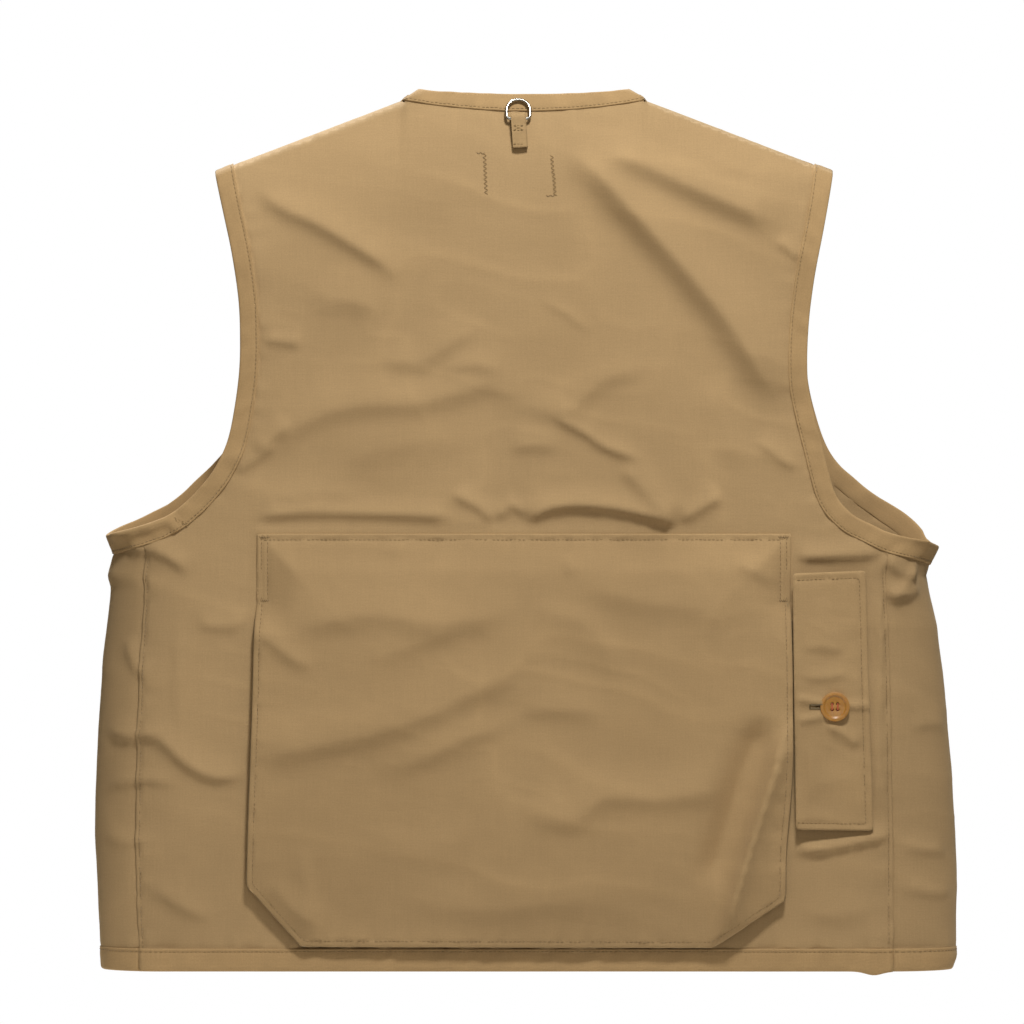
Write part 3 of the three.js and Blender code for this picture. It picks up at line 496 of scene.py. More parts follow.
def sideways(line: Line, distance: float | Array) -> Line:
    """Moves a line sideways, to the right of its direction."""
    along = np.gradient(line, axis=0)
    along /= np.maximum(np.linalg.norm(along, axis=1, keepdims=True), 1e-9)
    out = np.stack([along[:, 1], -along[:, 0]], -1)
    return line + out * np.asarray(distance).reshape(-1, 1)


def distance_to(line: Line, a: Array, z: Array) -> tuple[Array, Array, Array]:
    """Measures places against a line.

    Args:
        line: The line's points.
        a: Distances round the girth.
        z: Heights.

    Returns:
        Each place's distance from the line, its share of the way along it, and its side of it.
    """
    best = np.full(a.shape, 1e9)
    share = np.zeros(a.shape)
    side = np.ones(a.shape)
    lengths = np.linalg.norm(np.diff(line, axis=0), axis=1)
    starts = np.concatenate([[0], np.cumsum(lengths)])
    for k, length in enumerate(lengths):
        if length < 1e-9:
            continue
        along = (line[k + 1] - line[k]) / length
        da, dz = a - line[k][0], z - line[k][1]
        t = np.clip(da * along[0] + dz * along[1], 0, length)
        d = np.hypot(da - t * along[0], dz - t * along[1])
        closer = d < best
        best = np.where(closer, d, best)
        share = np.where(closer, (starts[k] + t) / starts[-1], share)
        side = np.where(closer, np.sign(along[0] * dz - along[1] * da), side)
    return best, share, side


@dataclass(frozen=True)
class Crease:
    """One fold in the cloth: a line that it runs along, its height and its width.

    Args:
        points: The line's points, (a, z).
        height: Height of the crest, or depth of the valley if negative.
        width: Width of one flank.
        lean: How much steeper the side to the left of the line is, from -1 to 1.
        sharp: 0 for a soft roll, 1 for a pressed crease.
        ends: Share of the length over which each end dies away.
    """

    points: tuple[tuple[float, float], ...]
    height: float
    width: float
    lean: float = 0.0
    sharp: float = 0.3
    ends: float = 0.35

    def lift(self, a: Array, z: Array) -> Array:
        """Gives the fold's lift at each place."""
        line = np.array(self.points, dtype=float)
        if len(line) > 2:
            line = spline(self.points, 8.0)
        reach = 4 * self.width
        near = ((a > line[:, 0].min() - reach) & (a < line[:, 0].max() + reach)
                & (z > line[:, 1].min() - reach) & (z < line[:, 1].max() + reach))
        result = np.zeros(a.shape)
        if not near.any():
            return result
        d, share, side = distance_to(line, a[near], z[near])
        width = self.width * (1 - 0.6 * self.lean * side)
        soft = np.exp(-((d / width) ** 2))
        pressed = np.exp(-1.6 * d / width)
        fade = smooth(share, 0, self.ends) * smooth(1 - share, 0, self.ends)
        result[near] = 1.3 * self.height * fade * (soft * (1 - self.sharp) + pressed * self.sharp)
        return result


def folds_of(*rows: tuple) -> tuple[Crease, ...]:
    """Makes folds from rows of a fold's values."""
    return tuple(Crease(*row) for row in rows)


@dataclass
class Relief:
    """How a piece of cloth departs from its smooth form.

    Args:
        creases: Its folds, placed by hand.
        roll: Height of the broad, soft waves.
        crumple: Height of the small creases left by long use and washing.
        seed: Number that the small creases are drawn from.
        grain_angle: Direction that most small creases run in, in degrees from level.
    """
    # creases: Its folds, placed one by one.

    creases: tuple[Crease, ...] = ()
    roll: float = 0.8
    crumple: float = 0.35
    seed: int = 1
    grain_angle: float = 12.0

    def fine(self, a: Array, z: Array) -> Array:
        """Gives the lift of the small creases."""
        turn = math.radians(self.grain_angle)
        u = a * math.cos(turn) + z * math.sin(turn)
        v = -a * math.sin(turn) + z * math.cos(turn)
        bend = 9 * noise(a, z, 60, self.seed + 5)
        total = np.zeros(a.shape)
        for k, (size, stretch, share) in enumerate(((46, 2.6, 1.0), (24, 2.2, 0.55), (12, 1.8, 0.28))):
            ridge = 1 - np.abs(noise(u / stretch + bend, v + bend, size, self.seed + 11 * k))
            patchy = 0.35 + 0.65 * smooth(noise(a, z, 90, self.seed + 31 + k), -0.4, 0.6)
            total += share * (ridge**3 - 0.35) * patchy
        return self.crumple * total

    def lift(self, a: Array, z: Array) -> Array:
        """Gives the whole lift at each place."""
        total = self.fine(a, z)
        total += self.roll * (noise(a, z, 120, self.seed + 71) + 0.5 * noise(a, z, 55, self.seed + 72))
        for crease in self.creases:
            total += crease.lift(a, z)
        return total


# ---------------------------------------------------------------- meshes


def mesh_object(name: str, points: Array, faces: Iterable[Sequence[int]], finish: Material,
                uv: Array | None = None, wear_and_shade: Array | None = None) -> Piece:
    """Makes an object from points and faces.

    Args:
        name: The piece's name.
        points: Its points, in millimetres.
        faces: The point numbers of each face.
        finish: Its material.
        uv: A place on the cloth for each point, in millimetres.
        wear_and_shade: How worn each point is and how much shade is painted on it, from -1, dark, to 1, pale.

    Returns:
        The new object.
    """
    mesh = bpy.data.meshes.new(name)
    mesh.from_pydata((np.asarray(points) * MM).tolist(), [], [list(map(int, f)) for f in faces])
    if uv is not None:
        layer = mesh.uv_layers.new(name="Cloth")
        corner = np.zeros(len(mesh.loops), dtype=np.int32)
        mesh.loops.foreach_get("vertex_index", corner)
        layer.data.foreach_set("uv", (np.asarray(uv)[corner] * MM).astype(np.float32).ravel())
    if wear_and_shade is not None:
        attribute = mesh.attributes.new("wear_and_shade", "FLOAT", "POINT")
        attribute.data.foreach_set("value", np.asarray(wear_and_shade, dtype=np.float32))
    mesh.polygons.foreach_set("use_smooth", np.ones(len(mesh.polygons), dtype=bool))
    mesh.materials.append(finish)
    mesh.update()
    obj = bpy.data.objects.new(name, mesh)
    bpy.context.scene.collection.objects.link(obj)
    face_out(obj)
    return obj


def tube_faces(count: int, size: int) -> list[tuple[int, ...]]:
    """Gives the faces of a closed tube: its sides ring by ring, then its two ends.

    Args:
        count: How many rings of points it has.
        size: How many points a ring has.

    Returns:
        The point numbers of each face.
    """
    sides = [(k * size + s, k * size + (s + 1) % size, (k + 1) * size + (s + 1) % size, (k + 1) * size + s)
             for k in range(count - 1) for s in range(size)]
    return [*sides, tuple(range(size))[::-1], tuple(range((count - 1) * size, count * size))]


def face_out(obj: Piece) -> None:
    """Turns a closed mesh's faces outwards."""
    mesh = obj.data
    points = np.zeros(len(mesh.vertices) * 3)
    mesh.vertices.foreach_get("co", points)
    points = points.reshape(-1, 3)
    mesh.calc_loop_triangles()
    corners = np.zeros(len(mesh.loop_triangles) * 3, dtype=np.int32)
    mesh.loop_triangles.foreach_get("vertices", corners)
    a, b, c = (points[corners.reshape(-1, 3)[:, k]] for k in range(3))
    if (a * np.cross(b, c)).sum() < 0:
        mesh.flip_normals()


def search_tree(places: Sequence[Sequence[float]]) -> kdtree.KDTree:
    """Makes a tree that finds the nearest of some places."""
    tree = kdtree.KDTree(len(places))
    for k, (a, z) in enumerate(places):
        tree.insert((a, z, 0), k)
    tree.balance()
    return tree


def fill(outline: Line, spacing: float, rows: Array | None = None,
         holes: Sequence[Line] = ()) -> tuple[Array, Array]:
    """Fills an outline with even triangles.

    Args:
        outline: The outline's points, without the first one repeated.
        spacing: The distance between points.
        rows: Extra places that become points, where the mesh is finer.
        holes: Outlines of openings.

    Returns:
        The points, and the triangles.
    """
    fixed = np.vstack([outline, *holes])
    tree = search_tree(fixed)
    extra = []
    if rows is not None:
        rows = rows[inside(rows, outline)]
        extra = [p for p in rows.tolist() if tree.find((*p, 0))[2] > 1.0]
    taken = search_tree([*fixed.tolist(), *extra])
    low, high = outline.min(0), outline.max(0)
    rise = spacing * math.sqrt(3) / 2
    grid_z = np.arange(low[1] + rise, high[1], rise)
    grid = np.array([(a, z) for k, z in enumerate(grid_z)
                     for a in np.arange(low[0] + spacing * (0.5 if k % 2 else 1.0), high[0], spacing)])
    grid = grid[inside(grid, outline)]
    free = [p for p in grid.tolist() if taken.find((*p, 0))[2] > 0.62 * spacing]
    points = [Vector(p) for p in [*fixed.tolist(), *extra, *free]]
    edges, start = [], 0
    for loop in (outline, *holes):
        count = len(loop)
        edges += [(start + k, start + (k + 1) % count) for k in range(count)]
        start += count
    found = delaunay_2d_cdt(points, edges, [], 0, 1e-6, True)
    flat = np.array([tuple(p) for p in found[0]])
    triangles = np.array(found[2])
    middles = flat[triangles].mean(axis=1)
    keep = inside(middles, outline)
    for hole in holes:
        keep &= ~inside(middles, hole)
    triangles = triangles[keep]
    used = np.unique(triangles)
    renumber = np.full(len(flat), -1)
    renumber[used] = np.arange(len(used))
    return flat[used], renumber[triangles]


def border_edges(triangles: Array) -> Array:
    """Gives the directed edges that only one triangle has."""
    edges = np.vstack([triangles[:, [0, 1]], triangles[:, [1, 2]], triangles[:, [2, 0]]])
    whole = np.sort(edges, axis=1)
    _, index, count = np.unique(whole, axis=0, return_index=True, return_counts=True)
    return edges[index[count == 1]]


# A folded binding's section: the share of the way from the free edge to the seam, and the height.
BINDING_SECTION = (
    (1.0, 0.9), (1.0, 1.75), (0.97, 2.1), (0.92, 2.15), (0.86, 1.95), (0.79, 2.2), (0.62, 2.35), (0.42, 2.3),
    (0.22, 2.35), (0.1, 2.3), (0.03, 2.05), (-0.01, 1.5), (-0.015, 1.0), (0.01, 0.4), (0.06, 0.05), (0.3, -0.1),
    (0.6, -0.1), (0.85, 0.0), (0.97, 0.1), (1.0, 0.4),
)
STITCH_SHARE = 0.86


@dataclass
class Binding:
    """A strip of cloth folded over an edge and sewn down.

    Args:
        name: The piece's name.
        edge: Its free edge.
        seam: Its sewn edge, with as many points.
        seed: Number that its ripples are drawn from.
        rope: Height of the slanted ripples that a sewn fold takes.
        wave: Height of the slow waves along it.
        lift: Raises the whole strip.
        folds: Folds of its own.
        ends: Its two end sections, once it is built.
    """

    name: str
    edge: Line
    seam: Line
    seed: int = 3
    rope: float = 0.28
    wave: float = 0.5
    lift: float = 0.0
    folds: tuple[Crease, ...] = ()
    ends: tuple[Array, ...] = ()

    def height(self, along: Array, share: Array, base: Array) -> Array:
        """Gives the face's height at a distance along and a share of the way to the seam."""
        slow = self.wave * noise(along, share * 8, 70, self.seed)
        slant = noise(along + share * 9.0, share * 3, 7.5, self.seed + 1)
        fine = noise(along, share * 13, 3.6, self.seed + 2)
        ends = smooth(base, 0.6, 1.9)
        return base + self.lift + slow + ends * (self.rope * slant + 0.08 * fine)

    def carried(self, place: Line) -> Array:
        """Gives how far the shell and the strip's own folds carry it at each place."""
        total = shell_lift(place[:, 0], place[:, 1])
        for fold in self.folds:
            total = total + fold.lift(place[:, 0], place[:, 1])
        return total

    def build(self, finish: Material) -> Piece:
        """Makes the strip and returns its object."""
        along = distances((self.edge + self.seam) / 2)
        rings, places = [], []
        for share, base in BINDING_SECTION:
            place = self.edge * (1 - share) + self.seam * share
            n = self.height(along, np.full(len(along), share), np.full(len(along), float(base)))
            n = n + self.carried(place)
            rings.append(FORM.at(place[:, 0], place[:, 1], n))
            places.append(np.stack([along, np.full(len(along), share * 13.0 + (60 if base < 1 else 0))], -1))
        points = np.stack(rings, 1)
        self.ends = (points[0], points[-1])
        count, size = points.shape[:2]
        # The folded edge is paler with wear; the row of stitches is darker with painted shade in its groove.
        wear_and_shade = np.tile([0.55 if abs(s) < 0.04 else (-0.35 if abs(s - STITCH_SHARE) < 0.05 else 0.1)
                        for s, _ in BINDING_SECTION], count)
        wear_and_shade = wear_and_shade + 0.3 * noise(np.repeat(along, size), np.tile(np.arange(size), count) * 3.0, 9, self.seed + 9)
        return mesh_object(self.name, points.reshape(-1, 3), tube_faces(count, size), finish,
                           np.stack(places, 1).reshape(-1, 2), wear_and_shade)

    def stitch_line(self) -> tuple[Line, Height]:
        """Gives the line that its stitches run on and the height of its face there."""
        along = distances((self.edge + self.seam) / 2)
        line = self.edge * (1 - STITCH_SHARE) + self.seam * STITCH_SHARE
        n = self.height(along, np.full(len(along), STITCH_SHARE), np.full(len(along), 1.95)) + self.carried(line)

        def height(a: Array, z: Array) -> Array:
            nearest = np.argmin(np.hypot(a[:, None] - line[:, 0], z[:, None] - line[:, 1]), axis=1)
            return n[nearest]

        return line, height


@dataclass(frozen=True)
class StitchKind:
    """A kind of sewing: the length of a stitch, the gap to the next, and the thread's radius."""

    length: float = 2.2
    gap: float = 0.8
    radius: float = 0.24


def stitches(name: str, rows: Sequence[tuple[Line, Height]], finish: Material,
             kind: StitchKind = StitchKind(), seed: int = 5, each: bool = False) -> Piece:
    """Sews rows of single stitches.

    Args:
        name: The piece's name.
        rows: Each row's line and the height of the cloth under it.
        finish: The thread's material.
        kind: The kind of sewing.
        seed: Number that the unevenness is drawn from.
        each: Whether each step of a line is one stitch, as in a zigzag.

    Returns:
        One object with every stitch.
    """
    rng = np.random.default_rng(seed)
    sides = 5
    turns = 2 * math.pi * np.arange(sides) / sides
    along, wide, rise = (np.array(v) for v in zip(
        (-0.5, 0.35, -0.55), (-0.36, 0.95, -0.05), (0.0, 1.0, 0.25), (0.36, 0.95, -0.05), (0.5, 0.35, -0.55)))
    size = len(along)
    loops = []
    for line, height in rows:
        even = line if each else respaced(line, kind.length + kind.gap)
        middle, step = (even[1:] + even[:-1]) / 2, np.diff(even, axis=0)
        if not each:
            step = step * kind.length / (kind.length + kind.gap)
            middle = middle + rng.uniform(-0.12, 0.12, middle.shape)
            step = step * rng.uniform(0.88, 1.08, (len(step), 1))
        spots = middle[:, None, :] + step[:, None, :] * along[None, :, None]
        a, z = spots[..., 0].ravel(), spots[..., 1].ravel()
        base = height(a, z) + 0.2
        low = FORM.at(a, z, base).reshape(-1, size, 3)
        up = FORM.at(a, z, base + 1).reshape(-1, size, 3) - low
        tangent = low[:, -1:] - low[:, :1]
        across = np.cross(tangent, up)
        across /= np.maximum(np.linalg.norm(across, axis=-1, keepdims=True), 1e-9)
        ring = across[:, :, None] * (wide[:, None] * np.cos(turns))[None, :, :, None]
        ring = ring + up[:, :, None] * (wide[:, None] * np.sin(turns) + rise[:, None])[None, :, :, None]
        loops.append((low[:, :, None] + kind.radius * ring).reshape(-1, size * sides, 3))
    points = np.concatenate(loops)
    one = tube_faces(size, sides)
    faces = [tuple(i + k * size * sides for i in f) for k in range(len(points)) for f in one]
    return mesh_object(name, points.reshape(-1, 3), faces, finish)


def call(obj: Piece, name: str) -> Piece:
    """Gives an object and its mesh one name, and returns the object."""
    obj.name = obj.data.name = name
    return obj


def select_only(obj: Piece) -> None:
    """Makes one object the only selected one, and the active one."""
    bpy.ops.object.select_all(action="DESELECT")
    obj.select_set(True)
    bpy.context.view_layer.objects.active = obj


def apply_modifiers(obj: Piece) -> None:
    """Applies every modifier of an object, in order."""
    select_only(obj)
    for modifier in list(obj.modifiers):
        bpy.ops.object.modifier_apply(modifier=modifier.name)


def settle(obj: Piece) -> None:
    """Moves an object's place, turn and scale into its mesh."""
    select_only(obj)
    bpy.ops.object.transform_apply(location=True, rotation=True, scale=True)


def dress(obj: Piece, finish: Material) -> None:
    """Gives an object one material."""
    obj.data.materials.clear()
    obj.data.materials.append(finish)


@dataclass
class Workshop:
    """The finishes, and the record of what has been made."""

    poplin: dict[Tone, Material] = field(default_factory=dict)
    made: int = 0

    def __post_init__(self) -> None:
        """Makes the finishes."""
        for tone in Tone:
            self.poplin[tone] = PoplinFinish(f"washed_poplin_{tone.name.lower()}", tone).make()
        self.thread = ThreadFinish("khaki_sewing_thread", "#8a6f42").make()
        self.dark_thread = ThreadFinish("olive_sewing_thread", "#6d5a30").make()
        self.button_thread = ThreadFinish("rust_button_thread", "#b0562a").make()
        self.button = CastPlasticFinish("cast_button_plastic").make()
        # A dark red-brown painted shade, seen through a button's holes.
        self.hole_shade = ThreadFinish("shaded_button_hole", "#4a1f12").make()
        self.nickel = MetalFinish("nickel_plated_wire", "#b9b6ae", "#7d7a72", 0.14, 0.34).make()
        self.brass = MetalFinish("antique_brass", "#b08d4c", "#6e5429", 0.22, 0.5).make()
        self.fleece = FleeceFinish("shearling_pile").make()
        self.tape = ThreadFinish("woven_zip_tape", "#8b7747").make()
        self.label = ThreadFinish("woven_label_ribbon", "#cfc4a6").make()

    def put(self, obj: Piece, body: str, slot: str, *nodes: str) -> Piece:
        """Fixes a piece to a body of the frame.

        Args:
            obj: The piece.
            body: The body that it moves with.
            slot: The record's material slot; not used.
            nodes: The frame's nodes that it stands for.

        Returns:
            The piece.
        """
        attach(obj, body)
        if nodes:
            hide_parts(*nodes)
        self.made += 1
        LOG.info("%s: %d faces on %s", obj.name, len(obj.data.polygons), body)
        return obj

    def sew(self, name: str, layer: "Layer", body: str) -> None:
        """Puts the thread that shows on a layer of pocket cloth.

        Args:
            name: The thread's piece name.
            layer: The layer that it is sewn in.
            body: The body that it moves with.
        """
        self.put(stitches(name, layer.sewing(), self.thread), body, "khaki_pocket")

    def hang(self, obj: Piece, side: int, slot: str, *nodes: str) -> Piece:
        """Bakes a piece's place into its mesh, and hides the frame's nodes that it stands for.

        Args:
            obj: The piece.
            side: +1 for the wearer's left, -1 for the right; not used.
            slot: The record's material slot; not used.
            nodes: The frame's nodes that it stands for.

        Returns:
            The piece.
        """
        if nodes:
            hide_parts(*nodes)
        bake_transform(obj)
        self.made += 1
        return obj


def front_reach(low: Array, high: Array) -> tuple[float, float]:
    """Gives the girth places of the inner and outer edge of a box on a front."""
    near, far = sorted((abs(low[0]), abs(high[0])))
    return FORM.centre_front - near, FORM.centre_front - far


# ---------------------------------------------------------------- the shell's shape and folds

FACE = 1.3  # the outer face of a single layer above the form's inner face
CLOTH = 0.8  # a layer's thickness
TUCK = 4.0  # how far a panel runs on under a binding

# Where the shell's folds die down, each as (from, to).
RIDGE_CALM = (2, 40)  # below the shoulder line
OPENING_CALM = (90, 40)  # from the front edge
HEM_CALM = (60, 0)  # above the hem
CHEST_INNER, CHEST_OUTER = (76, 90), (174, 188)  # the chest pockets, from the front edge
CHEST_TOP, CHEST_FOOT = (138, 150), (275, 290)  # and down from the origin
POUCH_SEAM, POUCH_EASE = (292.5, 299), (306, 340)  # the pouch's top seam, and where the folds come back
POUCH_END = 192  # from the centre back to the seam's end

SHELL = Relief(
    creases=folds_of(
        # Folds that fall from the left shoulder.
        (((192, -54), (170, -73), (145, -84), (122, -97), (100, -111), (82, -127)), 3.4, 9, 0.5, 0.35, 0.25),
        (((184, -165), (170, -166), (152, -168)), 2.0, 6, 0.5, 0.4, 0.3),
        (((150, -148), (128, -138), (96, -146)), 1.6, 12, 0.4, 0.2),
        (((110, -175), (75, -181), (53, -168), (24, -152)), 2.6, 11, 0.5, 0.25),
        (((62, -187), (33, -182), (12, -190)), 1.8, 8, 0.5, 0.3),
        (((186, -250), (151, -221), (113, -210), (75, -209), (40, -200), (22, -196), (-4, -214)), 3.0, 13, 0.5,
               0.2, 0.2),
        (((190, -244), (176, -234), (160, -221)), 2.2, 6, 0.5, 0.4, 0.3),
        (((204, -258), (190, -250), (170, -236)), 2.4, 6, 0.5, 0.4, 0.3),
        (((150, -262), (90, -238), (20, -236)), 1.6, 15, 0.4, 0.2),
        # Folds that fall from the right shoulder.
        (((-20, -30), (-48, -48), (-76, -76), (-112, -116), (-143, -154), (-163, -186), (-182, -216)), 7.6, 17,
               0.55, 0.25, 0.2),
        (((-44, -30), (-86, -46), (-118, -60), (-156, -76), (-184, -88)), 5.6, 13, 0.55, 0.25, 0.25),
        (((-92, -22), (-130, -38), (-176, -54)), 2.4, 9, 0.4, 0.3),
        (((-174, -94), (-184, -102), (-194, -112)), 2.0, 5, 0.5, 0.5),
        (((-16, -216), (-32, -225), (-41, -229), (-57, -240), (-86, -250)), 3.0, 6, 0.6, 0.6, 0.25),
        (((-159, -234), (-174, -244), (-192, -258)), 2.0, 6, 0.5, 0.5),
        (((-6, -136), (-28, -146), (-50, -164)), 0.9, 5, 0.4, 0.6),
        (((8, -200), (-10, -214), (-32, -214), (-50, -196), (-74, -187), (-96, -180)), 1.8, 10, 0.5, 0.25),
        (((14, -240), (-10, -238), (-28, -241)), 1.6, 8, 0.5, 0.3),
        (((-120, -190), (-140, -226), (-150, -262)), 1.4, 14, 0.2, 0.2),
        # The cloth that droops over the creel pouch's top.
        (((190, -288), (150, -285), (100, -286), (48, -288)), 3.0, 6.5, 0.55, 0.35, 0.12),
        (((52, -272), (40, -277), (28, -284), (20, -294)), 2.4, 6, 0.5, 0.5, 0.25),
        (((20, -292), (8, -279), (-2, -290)), 2.4, 5, 0.3, 0.5, 0.3),
        (((2, -291), (-22, -281), (-54, -281), (-86, -287), (-110, -294)), 4.8, 7.5, 0.6, 0.45, 0.12),
        (((-66, -250), (-86, -272), (-106, -293)), 2.6, 9, 0.5, 0.3, 0.25),
        (((-106, -292), (-121, -283), (-140, -272)), 2.8, 7, 0.5, 0.5, 0.25),
        (((190, -276), (151, -272), (105, -272)), 1.6, 9, 0.5, 0.3),
        # The left side.
        (((284, -312), (263, -311), (247, -317), (230, -328)), 3.2, 7, 0.6, 0.5, 0.25),
        (((276, -370), (269, -390), (258, -404)), 2.4, 6, 0.5, 0.5),
        (((292, -434), (270, -441), (257, -439), (247, -448), (234, -460), (216, -469), (190, -468)), 3.8, 8,
               0.6, 0.5, 0.2),
        (((288, -478), (262, -471), (240, -475)), 2.4, 6, 0.6, 0.5),
        (((232, -362), (206, -364), (190, -356)), 1.8, 8, 0.5, 0.3),
        (((262, -540), (240, -558), (212, -570)), 3.0, 8, 0.5, 0.4),
        (((240, -350), (241, -400), (239, -450)), 0.8, 5, 0.3, 0.4),
        (((290, -508), (272, -514), (250, -512)), 1.4, 6, 0.4, 0.4),
        # The right side.
        (((-186, -316), (-220, -315), (-252, -314)), 3.4, 6, 0.6, 0.45, 0.2),
        (((-250, -316), (-266, -326), (-284, -330)), 3.4, 6, 0.5, 0.6, 0.2),
        (((-284, -322), (-268, -338), (-254, -348)), 3.0, 6, 0.4, 0.6, 0.2),
        (((-250, -340), (-270, -343), (-288, -336)), 2.6, 5, 0.5, 0.5, 0.25),
        (((-247, -330), (-249, -380), (-246, -440), (-249, -500)), 1.8, 5, -0.4, 0.5, 0.15),
        (((-184, -520), (-200, -520), (-230, -515), (-258, -508)), 3.8, 6, 0.6, 0.55, 0.2),
        (((-256, -514), (-270, -520), (-290, -520)), 2.2, 6, 0.5, 0.5),
        (((-254, -544), (-276, -550), (-296, -548)), 2.0, 6, 0.5, 0.5),
        (((-262, -436), (-280, -432), (-298, -436)), 1.6, 6, 0.5, 0.4),
        (((-190, -560), (-215, -566), (-245, -560)), 1.8, 9, 0.5, 0.3),
        # The fronts.
        (((420, -100), (460, -150), (500, -180)), 3.2, 14, 0.2, 0.3),
        (((380, -290), (420, -318), (470, -330)), 3.0, 12, 0.3, 0.3),
        (((-410, -90), (-452, -140), (-500, -168)), 3.2, 14, 0.2, 0.3),
        (((-376, -300), (-424, -322), (-480, -316)), 3.0, 12, 0.3, 0.3),
        (((350, -330), (362, -420), (356, -540)), 2.6, 13, 0.2, 0.2),
        (((-350, -330), (-360, -430), (-354, -545)), 2.6, 13, 0.2, 0.2),
    ),
    roll=1.5,
    crumple=0.8,
    seed=7,
)


def shell_lift(a: Array, z: Array) -> Array:
    """Gives how far the shell's cloth departs from the smooth form."""
    a, z = np.asarray(a, dtype=float), np.asarray(z, dtype=float)
    run = np.abs(a)
    x = np.where(run > FORM.flat_half + FORM.side_arc, FORM.centre_front - run, np.minimum(run, FORM.flat_half))
    calm = smooth(FORM.ridge(x) - z, *RIDGE_CALM)
    calm *= 1 - 0.75 * smooth(run, *(FORM.centre_front - off for off in OPENING_CALM))
    calm *= 1 - 0.6 * smooth(-z, *(-FORM.hem_z - off for off in HEM_CALM))
    from_front = FORM.centre_front - run
    chest = smooth(from_front, *CHEST_INNER) * (1 - smooth(from_front, *CHEST_OUTER))
    calm *= 1 - 0.85 * chest * smooth(-z, *CHEST_TOP) * (1 - smooth(-z, *CHEST_FOOT))
    calm *= 1 - smooth(-z, *POUCH_SEAM) * (1 - smooth(-z, *POUCH_EASE) * 0.3) * smooth(POUCH_END - run, 0, 8)
    return SHELL.lift(a, z) * calm


def painted_side_and_foot_shade(a: Array, z: Array) -> Array:
    """Gives how much shade is painted on each place: the sides and the foot are painted darker."""
    run = np.abs(a)
    sides = smooth(run, 222, 268) * (1 - 0.7 * smooth(run, 300, 380))
    return np.clip(sides + 0.7 * smooth(-z, 430, 590) * (1 - 0.6 * smooth(run, 260, 340)), 0, 1)


@dataclass
class Seam:
    """A row of stitches and the groove that it presses in the cloth.

    Args:
        line: The row's line.
        depth: Depth of the groove.
        pucker: Height of the small gathers on both sides.
        reach: How far the gathers run from the row.
        seed: Number that the gathers are drawn from.
        sewn: Whether the row's thread shows here.
    """

    line: Line
    depth: float = 0.45
    pucker: float = 0.4
    reach: float = 7.0
    seed: int = 21
    sewn: bool = True

    def lift(self, a: Array, z: Array) -> Array:
        """Gives the lift of the groove and its gathers."""
        far = 3.5 * self.reach
        low, high = self.line.min(0) - far, self.line.max(0) + far
        near = (a > low[0]) & (a < high[0]) & (z > low[1]) & (z < high[1])
        result = np.zeros(a.shape)
        if not near.any():
            return result
        line = respaced(self.line, 7.0)
        d, share, side = distance_to(line, a[near], z[near])
        length = length_of(line)
        gathers = noise(share * length + side * 1.5, d * 0.25 + 40 * side, 6.5, self.seed)
        gathers += 0.6 * noise(share * length, d * 0.2 + 20 * side, 13.0, self.seed + 1)
        result[near] = self.pucker * gathers * np.exp(-d / self.reach) - self.depth * np.exp(-((d / 1.3) ** 2))
        return result

    def rows(self) -> Array:
        """Gives extra places for the mesh along the row, so that it can hold the groove."""
        return np.vstack([respaced(sideways(self.line, off), 2.6) for off in (-3.0, -1.2, 0.0, 1.2, 3.0)])


